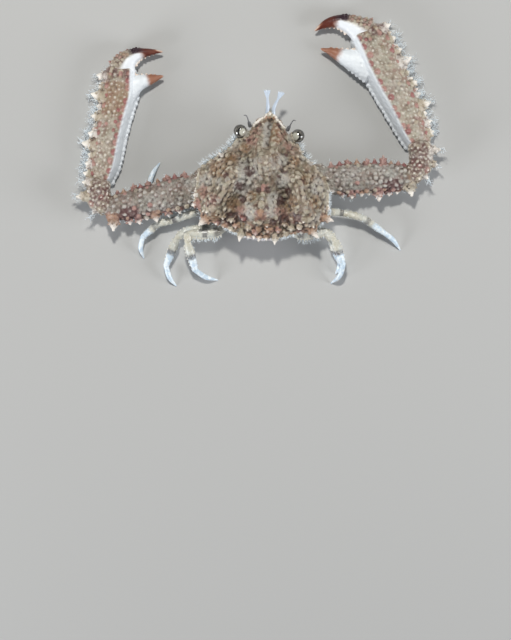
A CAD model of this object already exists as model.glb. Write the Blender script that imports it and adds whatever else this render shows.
import math
import random

import bmesh
import bpy
import numpy as np
from mathutils import Matrix, Vector, kdtree, noise


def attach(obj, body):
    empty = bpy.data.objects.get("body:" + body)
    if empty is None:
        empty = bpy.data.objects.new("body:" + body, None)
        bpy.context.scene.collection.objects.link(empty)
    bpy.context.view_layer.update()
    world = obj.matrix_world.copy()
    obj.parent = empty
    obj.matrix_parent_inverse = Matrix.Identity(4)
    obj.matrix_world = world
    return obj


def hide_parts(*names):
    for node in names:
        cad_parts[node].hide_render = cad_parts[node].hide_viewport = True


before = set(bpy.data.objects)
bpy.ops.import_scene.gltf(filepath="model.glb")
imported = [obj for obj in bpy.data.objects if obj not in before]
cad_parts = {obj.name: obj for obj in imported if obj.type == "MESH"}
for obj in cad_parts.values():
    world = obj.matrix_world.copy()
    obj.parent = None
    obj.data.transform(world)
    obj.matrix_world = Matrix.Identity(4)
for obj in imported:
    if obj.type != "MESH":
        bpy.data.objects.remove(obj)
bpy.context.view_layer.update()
print("frame loaded")

# All shapes are worked out in millimetres and become metres when a piece is finished.
millimetre = 0.001
upward = Vector((0.0, 0.0, 1.0))
chance = random.Random(7)
bodyPlace = {"x": 1.06, "y": -6.09, "turn": math.radians(-5.9)}
bodyMatrix = Matrix.Translation((bodyPlace["x"], bodyPlace["y"], 0.0)) @ Matrix.Rotation(
    bodyPlace["turn"], 4, "Z"
)

sides = {"left": -1.0, "right": 1.0}
# Tints of the granules, as places on one colour ramp.
tint = {
    "cream": 0.0, "tan": 0.2, "orange": 0.36, "pink": 0.52, "red": 0.68, "grey": 0.84, "white": 1.0
}


def bodyPoint(u, v, z):
    return bodyMatrix @ Vector((u, v, z))


def smoothStep(low, high, value):
    t = np.clip((value - low) / (high - low), 0.0, 1.0)
    return t * t * (3.0 - 2.0 * t)


def scatter(spread):
    # A random step, the same in every direction.
    return Vector([chance.gauss(0.0, spread) for _ in range(3)])


def stand(middle, direction):
    # Sets an upright shape at a place, with its top toward the direction.
    turn = direction.to_track_quat("Z", "Y").to_matrix().to_4x4()
    return Matrix.Translation(middle) @ turn


def stretched(middle, sizes):
    return Matrix.Translation(middle) @ Matrix.Diagonal((*sizes, 1.0))


def vertexRows(mesh, word):
    # The places or the normals of all vertices, one in a row.
    rows = np.zeros(len(mesh.vertices) * 3, np.float32)
    mesh.vertices.foreach_get(word, rows)
    return rows.reshape(-1, 3)


def meshObject(name, bm):
    mesh = bpy.data.meshes.new(name)
    bm.to_mesh(mesh)
    bm.free()
    made = bpy.data.objects.new(name, mesh)
    bpy.context.scene.collection.objects.link(made)
    return made


def bevelledBlock(bm, size, middle, bevel, segments, narrow=None):
    # A block with rounded edges, narrowed first where a function for that is given.
    block = bmesh.ops.create_cube(bm, size=1.0)["verts"]
    bmesh.ops.scale(bm, vec=size, verts=block)
    for vert in block if narrow else ():
        narrow(vert)
    bmesh.ops.translate(bm, vec=middle, verts=block)
    edges = list({edge for vert in block for edge in vert.link_edges})
    bmesh.ops.bevel(
        bm, geom=edges, offset=bevel, segments=segments, profile=0.5, affect="EDGES", material=-1
    )


def sphereSpot(vert, rows, columns):
    # Row and column of a vertex in a new round sphere, counted from the top pole.
    x, y, z = vert.co
    row = round(math.acos(max(-1.0, min(1.0, z))) / math.pi * (rows + 1))
    return row, round(math.atan2(y, x) / (2.0 * math.pi) * columns) % columns


def curveBetween(a, b, c, d, t):
    # Catmull-Rom: the curve passes through b and c.
    return 0.5 * (
        2.0 * b + (c - a) * t + (2.0 * a - 5.0 * b + 4.0 * c - d) * t * t
        + (3.0 * b - 3.0 * c + d - a) * t ** 3
    )


def smoothOpen(rows, steps):
    rows = np.array(rows, float)
    ends = np.vstack([2 * rows[0] - rows[1], rows, 2 * rows[-1] - rows[-2]])
    made = []
    for i in range(len(rows) - 1):
        for s in range(steps):
            made.append(curveBetween(*ends[i:i + 4], s / steps))
    made.append(rows[-1])
    return np.array(made)


def smoothLoop(points, steps):
    points = np.array(points, float)
    count = len(points)
    made = []
    for i in range(count):
        near = [points[(i + k) % count] for k in (-1, 0, 1, 2)]
        for s in range(steps):
            made.append(curveBetween(*near, s / steps))
    return np.array(made)


limbShape = {"cornerSteps": 5, "thinnest": 0.04, "domeTurns": (0.5, 0.95, 1.35), "block": 4000}


class Limb:
    # A tube through stations (x, y, z, half width, half height), smoothed both ways.
    def __init__(self, stations, section, outward=1.0, upright=False, side=None, steps=6):
        self.steps = limbShape["cornerSteps"]
        self.section = smoothLoop(section, self.steps)
        rows = smoothOpen(stations, steps)
        self.path = rows[:, :3]
        self.half = np.maximum(rows[:, 3:5], limbShape["thinnest"])
        ahead = np.gradient(self.path, axis=0)
        self.ahead = ahead / np.linalg.norm(ahead, axis=1)[:, None]
        if side is None:
            across = np.cross(self.ahead, (0.0, 0.0, 1.0))
            across /= np.linalg.norm(across, axis=1)[:, None]
        else:
            across = np.tile(np.array(side, float), (len(self.path), 1))
        self.above = np.cross(across, self.ahead)
        if upright:
            self.above = np.tile(np.array((0.0, 0.0, 1.0)), (len(self.path), 1))
        self.across = across * outward
        gaps = np.linalg.norm(np.diff(self.path, axis=0), axis=1)
        self.reach = np.concatenate([[0.0], np.cumsum(gaps)])
        self.length = self.reach[-1]
        self.middleHigh = float(np.mean(self.section[:, 1]))

    def ringPoint(self, i, corner):
        k = int(round(corner * self.steps)) % len(self.section)
        side, high = self.section[k]
        wide, tall = self.half[i]
        return self.path[i] + self.across[i] * side * wide + self.above[i] * high * tall

    def middle(self, i):
        return self.path[i] + self.above[i] * self.middleHigh * self.half[i][1]

    def surface(self, along, corner):
        along = min(max(along, 0.0), self.length)
        i = int(np.searchsorted(self.reach, along)) - 1
        i = min(max(i, 0), len(self.reach) - 2)
        part = (along - self.reach[i]) / (self.reach[i + 1] - self.reach[i])
        point = self.ringPoint(i, corner) * (1 - part) + self.ringPoint(i + 1, corner) * part
        inner = self.middle(i) * (1 - part) + self.middle(i + 1) * part
        out = Vector(point - inner).normalized()
        return Vector(point), out

    def addTo(self, bm, roundStart=0.7, roundEnd=0.7):
        # A sphere's rows are drawn out along the path, with domed ends.
        turns = limbShape["domeTurns"]
        rows = [(0, -roundStart * math.sin(a), math.cos(a)) for a in turns[::-1]]
        rows += [(i, 0.0, 1.0) for i in range(len(self.path))]
        rows += [(-1, roundEnd * math.sin(a), math.cos(a)) for a in turns]
        count = len(self.section)
        made = bmesh.ops.create_uvsphere(
            bm, u_segments=count, v_segments=len(rows) + 1, radius=1.0
        )
        for vert in made["verts"]:
            row, column = sphereSpot(vert, len(rows), count)
            pole = row in (0, len(rows) + 1)
            i, shift, scale = rows[min(max(row, 1), len(rows)) - 1]
            scale = 0.0 if pole else scale
            wide, tall = self.half[i]
            side, high = self.section[column]
            center = self.middle(i) + self.ahead[i] * shift * wide
            spot = center + self.across[i] * side * wide * scale
            spot = spot + self.above[i] * (high - self.middleHigh) * tall * scale
            vert.co = Vector(spot)

    def locate(self, points):
        # For each point: share of the length, outward part and upward part.
        found = []
        for start in range(0, len(points), limbShape["block"]):
            block = points[start:start + limbShape["block"]]
            gaps = np.linalg.norm(block[:, None, :] - self.path[None, :, :], axis=2)
            i = np.argmin(gaps, axis=1)
            step = block - self.path[i]
            forward, outward, high = [
                np.einsum("ij,ij->i", step, way[i]) for way in (self.ahead, self.across, self.above)
            ]
            along = (self.reach[i] + forward) / self.length
            found.append((along, outward / self.half[i, 0], high / self.half[i, 1]))
        return [np.concatenate(rows) for rows in zip(*found)]


growthShape = {
    "batch": 30,
    "crowding": 0.86,
    "beadSink": 0.35,
    "spineSides": 14,
    "footSink": 0.5,
    "footRadius": 1.05,
    "markRadius": 1.2,
    "tipMark": 0.15,
}


class Growths:
    # What grows on a piece: each spine or granule keeps its place for the paint.
    def __init__(self):
        self.bm = bmesh.new()
        self.parts = []
        self.made = 0
        self.marks = []
        self.spots = []

    def count(self):
        # Small batches keep the operators quick.
        self.made += 1
        if self.made % growthShape["batch"] == 0:
            self.store()

    def store(self):
        part = bpy.data.meshes.new("growths")
        self.bm.to_mesh(part)
        self.bm.clear()
        self.parts.append(part)

    def pourInto(self, bm):
        self.store()
        for part in self.parts:
            bm.from_mesh(part)
            bpy.data.meshes.remove(part)
        self.parts = []
        self.bm.free()

    def free(self, point, radius):
        if not self.spots:
            return True
        spots = np.array([s[0] for s in self.spots])
        radii = np.array([s[1] for s in self.spots])
        gaps = np.linalg.norm(spots - np.array(point), axis=1)
        return not np.any(gaps < (radii + radius) * growthShape["crowding"])

    def bead(self, point, out, radius, hue, rise=0.45, stretch=None, strength=1.0):
        center = Vector(point) + out * (rise - growthShape["beadSink"]) * radius
        matrix = Matrix.Translation(center)
        arm = out * radius * 0.2
        if stretch:
            way, long = stretch
            arm = Vector(way) * radius * (long - 1.0)
            turn = Vector(way).to_track_quat("X", "Z").to_matrix().to_4x4()
            matrix = matrix @ turn @ Matrix.Diagonal((long, 1.0, 1.0, 1.0))
        bmesh.ops.create_icosphere(self.bm, subdivisions=2, radius=radius, matrix=matrix)
        self.count()
        self.marks.append((center - arm, center + arm, radius, radius, hue, strength, 0.0))
        self.spots.append((tuple(point), radius))

    def spine(self, point, out, radius, length, hue, blunt=0.2, sink=0.5, pale=0.7):
        # A stout cone with a rounded root and tip.
        shape = growthShape
        out = out.normalized()
        top = radius * blunt
        tall = length + sink - top
        middle = Vector(point) + out * (tall / 2.0 - sink)
        bmesh.ops.create_cone(
            self.bm, cap_ends=True, segments=shape["spineSides"],
            radius1=radius * (1 + 0.4 * sink / tall), radius2=top, depth=tall,
            matrix=stand(middle, out)
        )
        tip = Vector(point) + out * (length - top)
        foot = Vector(point) - out * radius * shape["footSink"]
        for spot, ball in ((tip, top), (foot, radius * shape["footRadius"])):
            bmesh.ops.create_icosphere(
                self.bm, subdivisions=2, radius=ball, matrix=Matrix.Translation(spot)
            )
        self.count()
        ends = radius * shape["markRadius"], top + shape["tipMark"]
        self.marks.append((Vector(point), tip, *ends, hue, 1.0, pale))
        self.spots.append((tuple(point), radius))

    def crustySpine(self, point, out, radius, length, hue, pale=0.7):
        # A large spine carries small granules of its own.
        self.spine(point, out, radius, length, hue, pale=pale)
        turn = out.normalized().to_track_quat("Z", "Y").to_matrix()
        for i in range(int(3 + 2 * length)):
            share = chance.uniform(0.0, 0.45)
            around = i * 2.4
            spoke = turn @ Vector((math.cos(around), math.sin(around), 0.25))
            spot = Vector(point) + out * length * share + spoke * radius * (0.98 - 0.8 * share)
            size = chance.uniform(0.2, 0.32) * (1.1 - 0.5 * share)
            self.bead(spot, spoke.normalized(), size, hue - chance.uniform(0.0, 0.1), 0.1)


def pepper(growths, limb, start, end, corners, sizes, tries, hues, rise, strength=0.4):
    # Granules thrown at random on a strip of a limb, keeping off one another.
    for _ in range(tries):
        along = chance.uniform(start, end)
        corner = chance.uniform(*corners)
        radius = chance.uniform(*sizes)
        point, out = limb.surface(along, corner)
        if growths.free(point, radius):
            hue = tint[chance.choice(hues)] + chance.uniform(-0.04, 0.04)
            growths.bead(point, out, radius, hue, rise=rise, strength=strength)


def startPiece(limb, roundStart, roundEnd):
    bm = bmesh.new()
    limb.addTo(bm, roundStart, roundEnd)
    return bm, Growths()


def paint(piece, **masks):
    # Stores each mask, from 0 to 1, for the materials to read.
    for word, values in masks.items():
        layer = piece.data.attributes.new(word, "FLOAT", "POINT")
        layer.data.foreach_set("value", np.clip(values, 0.0, 1.0).astype(np.float32))


def neighbourMean(edges, counts, values):
    columns = values if values.ndim > 1 else values[:, None]
    means = []
    for column in columns.T:
        total = np.bincount(edges[:, 0], column[edges[:, 1]], len(counts))
        total += np.bincount(edges[:, 1], column[edges[:, 0]], len(counts))
        means.append(total / counts)
    return np.array(means).T if values.ndim > 1 else means[0]


def creases(mesh, places):
    # How far each point lies in a hollow, between its neighbours and over a wider patch.
    edges = np.zeros(len(mesh.edges) * 2, np.int32)
    mesh.edges.foreach_get("vertices", edges)
    edges = edges.reshape(-1, 2)
    counts = np.maximum(np.bincount(edges.ravel(), minlength=len(places)), 1)
    normals = vertexRows(mesh, "normal")
    found = []
    wide = places
    for rounds in (3, 15):
        for _ in range(rounds):
            wide = neighbourMean(edges, counts, wide)
        hollow = np.einsum("ij,ij->i", wide - places, normals)
        for _ in range(2):
            hollow = neighbourMean(edges, counts, hollow)
        found.append(hollow)
    return found


def roughen(mesh, places, deep):
    # Fine unevenness in the skin itself.
    shifts = [noise.noise(Vector(p) * 1.5) + 0.5 * noise.noise(Vector(p) * 3.4) for p in places]
    places = places + vertexRows(mesh, "normal") * (np.array(shifts) * deep)[:, None]
    mesh.vertices.foreach_set("co", places.ravel())
    mesh.update()
    return places


maskShape = {"inner": 0.95, "outer": 1.3, "search": 1.4, "crease": 14.0, "valley": 3.2}


def markPaint(places, marks):
    # Where spines and granules stand, with their tints and their pale tips.
    knob, hue, tip = np.zeros((3, len(places)))
    tree = kdtree.KDTree(len(places))
    for i, place in enumerate(places):
        tree.insert(place, i)
    tree.balance()
    for root, top, low, high, shade, strength, pale in marks:
        axis = top - root
        reach = max(axis.length, 1e-4)
        found = tree.find_range((root + top) / 2.0, reach / 2.0 + low * maskShape["search"])
        if not found:
            continue
        ids = np.array([f[1] for f in found])
        step = places[ids] - np.array(root)
        share = np.clip(step @ np.array(axis) / reach ** 2, 0.0, 1.0)
        gap = np.linalg.norm(step - share[:, None] * np.array(axis), axis=1)
        width = low + (high - low) * share
        fade = smoothStep(maskShape["inner"] * width, maskShape["outer"] * width, gap)
        weight = strength * (1.0 - fade)
        stronger = weight > knob[ids]
        knob[ids] = np.where(stronger, weight, knob[ids])
        hue[ids] = np.where(stronger, shade, hue[ids])
        tip[ids] = np.where(stronger, weight * share * pale, tip[ids])
    return knob, hue, tip


def fusePiece(name, bm, growths, voxel, smooth=2, rough=0.0):
    # The core and what grows on it become one closed skin, then the paint masks are stored.
    if growths:
        growths.pourInto(bm)
    piece = meshObject(name, bm)
    remesh = piece.modifiers.new("skin", "REMESH")
    remesh.mode = "VOXEL"
    remesh.voxel_size = voxel
    soften = piece.modifiers.new("soften", "SMOOTH")
    soften.factor = 0.5
    soften.iterations = smooth
    seen = piece.evaluated_get(bpy.context.evaluated_depsgraph_get())
    fused = bpy.data.meshes.new_from_object(seen)
    piece.modifiers.clear()
    piece.data = fused
    places = vertexRows(fused, "co").astype(float)
    if rough:
        places = roughen(fused, places, rough)
    knob, hue, tip = markPaint(places, growths.marks if growths else ())
    near, wide = creases(fused, places)
    paint(piece, knob=knob, hue=hue, tip=tip)
    paint(piece, crease=near * maskShape["crease"], valley=0.5 + wide * maskShape["valley"])
    return piece, places


def finishPiece(piece, material, slot, *nodes):
    piece.data.transform(Matrix.Scale(millimetre, 4))
    piece.data.materials.clear()
    piece.data.materials.append(material)
    piece.data.shade_smooth()
    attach(piece, "root")
    if nodes:
        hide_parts(*nodes)


def settle(piece, material, slot, *nodes):
    # What was built in the body's own directions takes the body's place.
    piece.data.transform(bodyMatrix)
    finishPiece(piece, material, slot, *nodes)


def clampToFloor(piece):
    for vert in piece.data.vertices:
        vert.co.z = max(vert.co.z, 0.0)


class Signal:
    # A shader socket that takes part in sums.
    def __init__(self, finish, socket):
        self.finish = finish
        self.socket = socket

    def maths(self, operation, first, second=None, clamp=False):
        values = {0: first} if second is None else {0: first, 1: second}
        settings = {"operation": operation, "use_clamp": clamp}
        return self.finish.add("ShaderNodeMath", settings, values).out(0)

    def __add__(self, other):
        return self.maths("ADD", self, other)

    __radd__ = __add__

    def __mul__(self, other):
        return self.maths("MULTIPLY", self, other)

    __rmul__ = __mul__

    def __sub__(self, other):
        return self.maths("SUBTRACT", self, other)

    def __rsub__(self, other):
        return self.maths("SUBTRACT", other, self)

    def atLeast(self, low, high):
        # Rises from 0 to 1 between the two values.
        values = {"Value": self, "From Min": low, "From Max": high}
        settings = {"interpolation_type": "SMOOTHSTEP", "clamp": True}
        return self.finish.add("ShaderNodeMapRange", settings, values).out(0)

    def clamped(self):
        return self.maths("MULTIPLY", self, 1.0, clamp=True)


class Built:
    def __init__(self, finish, node):
        self.finish = finish
        self.node = node

    def out(self, key):
        return Signal(self.finish, self.node.outputs[key])


class Finish:
    # One material and its nodes.
    def __init__(self, name):
        self.material = bpy.data.materials.new(name)
        self.material.use_nodes = True
        self.tree = self.material.node_tree
        self.shader = self.tree.nodes["Principled BSDF"]

    def add(self, kind, settings=None, values=None):
        node = self.tree.nodes.new(kind)
        for key, value in (settings or {}).items():
            if key == "stops":
                ramp = node.color_ramp
                while len(ramp.elements) < len(value):
                    ramp.elements.new(0.5)
                for element, (place, colour) in zip(ramp.elements, value):
                    element.position = place
                    element.color = (*colour, 1.0)
            else:
                setattr(node, key, value)
        for key, value in (values or {}).items():
            self.plug(node.inputs[key], value)
        return Built(self, node)

    def plug(self, socket, value):
        if isinstance(value, Signal):
            self.tree.links.new(value.socket, socket)
        elif isinstance(value, tuple) and len(value) == 3 and socket.type == "RGBA":
            socket.default_value = (*value, 1.0)
        else:
            socket.default_value = value

    def mask(self, name):
        return self.add("ShaderNodeAttribute", {"attribute_name": name}).out("Fac")

    def noise(self, size, detail=3.0, rough=0.5, shift=0.0):
        # Size is the width of a patch in millimetres.
        place = self.add("ShaderNodeTexCoord").out("Object")
        values = {"Vector": place, "Location": (shift, shift, 0.0)}
        moved = self.add("ShaderNodeMapping", None, values)
        values = {
            "Vector": moved.out(0), "Scale": 1000.0 / size, "Detail": detail, "Roughness": rough
        }
        return self.add("ShaderNodeTexNoise", None, values).out("Fac")

    def mix(self, share, low, high):
        values = {0: share, 6: low, 7: high}
        return self.add("ShaderNodeMix", {"data_type": "RGBA"}, values).out(2)

    def ramp(self, share, stops):
        return self.add("ShaderNodeValToRGB", {"stops": stops}, {"Fac": share}).out("Color")

    def bump(self, height, strength, depth):
        values = {"Height": height, "Strength": strength, "Distance": depth}
        self.plug(self.shader.inputs["Normal"], self.add("ShaderNodeBump", None, values).out(0))

    def set(self, **values):
        for key, value in values.items():
            self.plug(self.shader.inputs[key.replace("_", " ")], value)

    def skin(self, colour, look, grain, relief="relief"):
        # The same fine grain shows in the gloss and in the relief.
        uneven, strength, depth = look[relief]
        self.set(Base_Color=colour, Roughness=look["roughness"] + uneven * grain)
        self.bump(grain, strength, depth)
        return self.material


# Crust: the granulate shell of the body and the claws.
# Relief, here and below: share of the grain in the roughness, strength, depth in metres.
crustLook = {
    "ground": (0.232, 0.208, 0.152),
    "brown": (0.128, 0.09, 0.052),
    "cool": (0.42, 0.42, 0.385),
    "ochre": (0.23, 0.13, 0.055),
    "rose": (0.31, 0.165, 0.135),
    "stain": (0.065, 0.02, 0.019),
    "crown": (0.61, 0.57, 0.46),
    "hollow": (0.046, 0.03, 0.022),
    "white": (0.80, 0.84, 0.88),
    "whiteHollow": (0.52, 0.53, 0.62),
    "granules": (
        (0.0, (0.50, 0.45, 0.345)), (0.2, (0.30, 0.24, 0.16)), (0.36, (0.42, 0.25, 0.16)),
        (0.52, (0.42, 0.22, 0.19)), (0.68, (0.32, 0.10, 0.10)), (0.84, (0.42, 0.41, 0.37)),
        (1.0, (0.72, 0.69, 0.64)),
    ),
    "tip": (0.88, 0.83, 0.76),
    "roughness": 0.36,
    "relief": (0.25, 0.6, 0.00012),
    "handRelief": (0.2, 0.3, 0.00007),
}


def crustPaint(finish, look, knobShare, hollowShare):
    # Mottled ground, the granules' own tints, light crowns, dark blotches, then dark hollows.
    mottle = finish.noise(1.5, 4.0, 0.6)
    broad = finish.noise(4.5, 3.0, 0.5, 0.3)
    ragged = finish.noise(0.9, 4.0, 0.7, 0.5)

    def blotch(word, cloud):
        return (finish.mask(word) + 1.5 * (cloud - 0.5)).atLeast(0.3, 0.75)

    colour = finish.mix(mottle.atLeast(0.42, 0.62) * 0.85, look["ground"], look["brown"])
    colour = finish.mix(broad.atLeast(0.5, 0.66) * 0.5, colour, look["cool"])
    colour = finish.mix(blotch("cool", broad) * 0.8, colour, look["cool"])
    colour = finish.mix(blotch("ochre", broad) * 0.75, colour, look["ochre"])
    colour = finish.mix(blotch("rose", mottle) * 0.7, colour, look["rose"])
    valley = finish.mask("valley")
    hue = finish.ramp(finish.mask("hue"), look["granules"])
    colour = finish.mix(finish.mask("knob") * knobShare, colour, hue)
    crown = (1.0 - valley).atLeast(0.55, 0.9) * (1.0 - finish.mask("knob").atLeast(0.1, 0.7))
    colour = finish.mix(crown * 0.95, colour, look["crown"])
    veil = finish.noise(2.4, 4.0, 0.65, 0.9)
    colour = finish.mix(veil.atLeast(0.5, 0.7) * 0.45, colour, look["brown"])
    band = veil.atLeast(0.3, 0.5) * (1.0 - veil.atLeast(0.4, 0.6))
    colour = finish.mix(band * 0.3, colour, look["rose"])
    stain = (finish.mask("stain") * 1.25 + 1.7 * (ragged - 0.5)).atLeast(0.35, 0.8)
    colour = finish.mix(stain * (0.3 + valley).atLeast(0.3, 1.0) * 0.92, colour, look["stain"])
    colour = finish.mix(valley.atLeast(0.52, 0.85) * hollowShare, colour, look["hollow"])
    crease = finish.mask("crease").atLeast(0.15, 1.0) * hollowShare
    return finish.mix(crease, colour, look["hollow"]), hue


def paleParts(finish, colour, look):
    # The bare white of the lower faces, and the light spine tips.
    crease = finish.mask("crease").atLeast(0.15, 0.9)
    pale = finish.mix(crease * 0.6, look["white"], look["whiteHollow"])
    colour = finish.mix(finish.mask("white"), colour, pale)
    return finish.mix(finish.mask("tip").atLeast(0.15, 0.7) * 0.9, colour, look["tip"])


def crustFinish(name, look):
    finish = Finish(name)
    fine = finish.noise(0.6, 3.0, 0.65)
    colour, _ = crustPaint(finish, look, 0.8, 0.85)
    colour = paleParts(finish, colour, look)
    colour = finish.mix(fine.atLeast(0.5, 0.7) * 0.5, colour, look["hollow"])
    return finish.skin(colour, look, fine)


fingerLook = {
    "base": (0.80, 0.83, 0.87),
    "brown": (0.10, 0.018, 0.009),
    "dark": (0.03, 0.01, 0.018),
    "orange": (0.38, 0.17, 0.10),
    "tip": (0.82, 0.70, 0.60),
    "roughness": 0.3,
    "relief": (0.2, 0.2, 0.00006),
}


def fingerPaint(finish, colour, look):
    # White at the root, red-brown along the finger with a dark streak, and a pale tip.
    cloud = finish.noise(1.2, 3.0)
    share = finish.mask("reach") + (cloud - 0.5) * 0.12 + 0.12 * finish.mask("streak")
    colour = finish.mix(share.atLeast(0.5, 0.66), colour, look["orange"])
    deep = share.atLeast(0.52, 0.68) * (1.0 - 0.8 * share.atLeast(0.9, 1.02)) * (0.55 + cloud)
    colour = finish.mix((deep * finish.mask("browning")).clamped(), colour, look["brown"])
    dark = share.atLeast(0.44, 0.54) * (1.0 - share.atLeast(0.62, 0.8)) * finish.mask("streak")
    colour = finish.mix(dark, colour, look["dark"])
    return finish.mix(share.atLeast(0.97, 1.06) * 0.6, colour, look["tip"])


def fingerFinish(name, look, crust):
    finish = Finish(name)
    fine = finish.noise(0.5, 3.0, 0.6)
    rough, hue = crustPaint(finish, crust, 0.85, 0.7)
    white = finish.mix(finish.mask("knob") * 0.6, look["base"], hue)
    colour = finish.mix(finish.mask("crusty"), white, rough)
    colour = fingerPaint(finish, colour, look)
    colour = finish.mix(finish.mask("tooth"), colour, look["tip"])
    colour = finish.mix(finish.mask("crease").atLeast(0.3, 1.0) * 0.35, colour, look["dark"])
    return finish.skin(colour, look, fine)


legLook = {
    "clear": (0.55, 0.67, 0.78),
    "milk": (0.80, 0.87, 0.92),
    "olive": (0.52, 0.48, 0.37),
    "band": (0.06, 0.055, 0.065),
    "knob": (0.72, 0.68, 0.58),
    "roughness": 0.32,
    "relief": (0.15, 0.2, 0.00006),
}


def legFinish(name, look):
    finish = Finish(name)
    streak = finish.noise(0.9, 3.0, 0.6)
    broad = finish.noise(2.2, 2.0, shift=0.7)
    colour = finish.mix(streak.atLeast(0.42, 0.62), look["clear"], look["milk"])
    olive = (finish.mask("olive") * (0.45 + 0.9 * broad)).clamped()
    colour = finish.mix(olive, colour, look["olive"])
    band = (finish.mask("band") * (0.25 + 1.1 * streak)).clamped()
    colour = finish.mix(band, colour, look["band"])
    colour = finish.mix(finish.mask("knob") * 0.8, colour, look["knob"])
    colour = finish.mix(finish.mask("crease").atLeast(0.25, 1.0) * 0.4, colour, look["band"])
    finish.set(Coat_Weight=0.3, Coat_Roughness=0.2)
    return finish.skin(colour, look, streak)


bellyLook = {
    "white": (0.66, 0.63, 0.66),
    "lavender": (0.45, 0.41, 0.50),
    "tan": (0.36, 0.24, 0.15),
    "dark": (0.10, 0.07, 0.07),
    "knob": (0.76, 0.74, 0.74),
    "roughness": 0.45,
    "relief": (0.2, 0.25, 0.00006),
}


def bellyFinish(name, look):
    finish = Finish(name)
    mottle = finish.noise(1.6, 3.0)
    fine = finish.noise(0.45, 3.0, 0.6)
    colour = finish.mix(mottle.atLeast(0.4, 0.66), look["white"], look["lavender"])
    stain = (finish.mask("stain") * (0.5 + 0.8 * mottle)).clamped()
    colour = finish.mix(stain, colour, look["tan"])
    colour = finish.mix(finish.mask("knob") * 0.8, colour, look["knob"])
    colour = finish.mix(finish.mask("crease").atLeast(0.12, 0.8) * 0.7, colour, look["dark"])
    return finish.skin(colour, look, fine)


eyeLook = {
    "ball": (0.17, 0.16, 0.14),
    "rim": (0.05, 0.047, 0.042),
    "pale": (0.56, 0.55, 0.47),
    "pupil": (0.012, 0.011, 0.010),
}


def eyeFinish(name, look):
    finish = Finish(name)
    cloud = finish.noise(0.8, 2.0)
    colour = finish.mix(cloud.atLeast(0.4, 0.65), look["ball"], look["rim"])
    colour = finish.mix(finish.mask("rim"), colour, look["rim"])
    colour = finish.mix(finish.mask("pale"), colour, look["pale"])
    colour = finish.mix(finish.mask("pupil"), colour, look["pupil"])
    finish.set(Base_Color=colour, Roughness=0.06)
    finish.set(Coat_Weight=1.0, Coat_Roughness=0.03)
    return finish.material


def plainFinish(name, colour, roughness, coat=0.0):
    finish = Finish(name)
    finish.set(Base_Color=colour, Roughness=roughness, Coat_Weight=coat)
    return finish.material


shellMaterial = crustFinish("granulateShell", crustLook)
clawLook = dict(
    crustLook, ground=(0.41, 0.385, 0.31), brown=(0.20, 0.155, 0.11), cool=(0.36, 0.36, 0.33),
    crown=(0.70, 0.67, 0.59), rose=(0.36, 0.20, 0.175), stain=(0.10, 0.032, 0.034),
    hollow=(0.085, 0.048, 0.04)
)
armLook = dict(
    clawLook, ground=(0.26, 0.245, 0.21), brown=(0.145, 0.11, 0.085), crown=(0.58, 0.57, 0.53),
    rose=(0.28, 0.15, 0.14), hollow=(0.065, 0.042, 0.038)
)
clawMaterial = crustFinish("granulateClaw", clawLook)
armMaterial = crustFinish("granulateArm", armLook)
fingerMaterial = fingerFinish("brownFinger", fingerLook, clawLook)
legMaterial = legFinish("bandedLeg", legLook)
bellyMaterial = bellyFinish("paleBelly", bellyLook)
eyeMaterial = eyeFinish("glassyEye", eyeLook)
feelerMaterial = plainFinish("clearFeeler", (0.55, 0.63, 0.74), 0.25, 0.4)
whipMaterial = plainFinish("darkWhip", (0.16, 0.16, 0.17), 0.3, 0.4)
setaMaterial = plainFinish("paleSeta", (0.88, 0.95, 1.0), 0.4)
print("materials made")


# Body shell: outline, swellings and grooves, in the body's own right and forward.
shellShape = {
    "outline": (
        (0.0, 14.4), (1.3, 13.25), (2.4, 12.2), (3.2, 11.2), (3.8, 10.1), (4.6, 8.9),
        (6.1, 7.8), (7.0, 7.3), (7.7, 6.0), (9.1, 4.5), (11.1, 2.9), (13.2, 1.1),
        (14.5, -1.0), (14.6, -4.0), (14.7, -7.0), (13.2, -9.2), (12.2, -10.9),
        (9.9, -11.4), (7.4, -12.1), (5.2, -12.9), (3.0, -13.4), (0.0, -13.6),
    ),
    "hub": (0.0, -3.0),
    "marginHigh": 8.0,
    "floorHigh": 5.5,
    "regions": (
        (0.0, 2.6, 3.6, 4.8, 4.2), (0.0, -7.6, 3.2, 3.9, 4.4), (0.0, 8.4, 2.9, 3.2, 1.3),
    ),
    "branchRidge": ((7.0, -0.2), (10.7, -8.4)),
    "branchSpread": 2.9,
    "branchHigh": 3.7,
    "grooveDeep": 0.75,
    "voxel": 0.172,
    "outlineSteps": 4,
    "roofRows": 46,
    "rimDrops": ((0.995, 0.35), (0.985, 0.8)),
    "underShares": (0.93, 0.86, 0.78, 0.66, 0.5, 0.25),
    "slopeStep": 0.25,
}


def buildOutline(shape):
    right = smoothOpen(shape["outline"], shape["outlineSteps"])
    left = right[-2:0:-1] * np.array((-1.0, 1.0))
    return np.vstack([right, left])


def edgeShare(u, v):
    # How far from the hub to the outline a point lies, 1 on the outline.
    hub = np.array(shellShape["hub"])
    ray = np.array((u, v)) - hub
    reach = np.linalg.norm(ray)
    angle = math.atan2(ray[0], ray[1])
    edge = np.interp(angle, outlineAngles, outlineReach, period=2.0 * math.pi)
    return reach / edge


def ridgeGap(u, v):
    a = np.array(shellShape["branchRidge"][0])
    b = np.array(shellShape["branchRidge"][1])
    p = np.array((abs(u), v))
    share = np.clip(np.dot(p - a, b - a) / np.dot(b - a, b - a), 0.0, 1.0)
    return float(np.linalg.norm(p - a - share * (b - a)))


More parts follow.
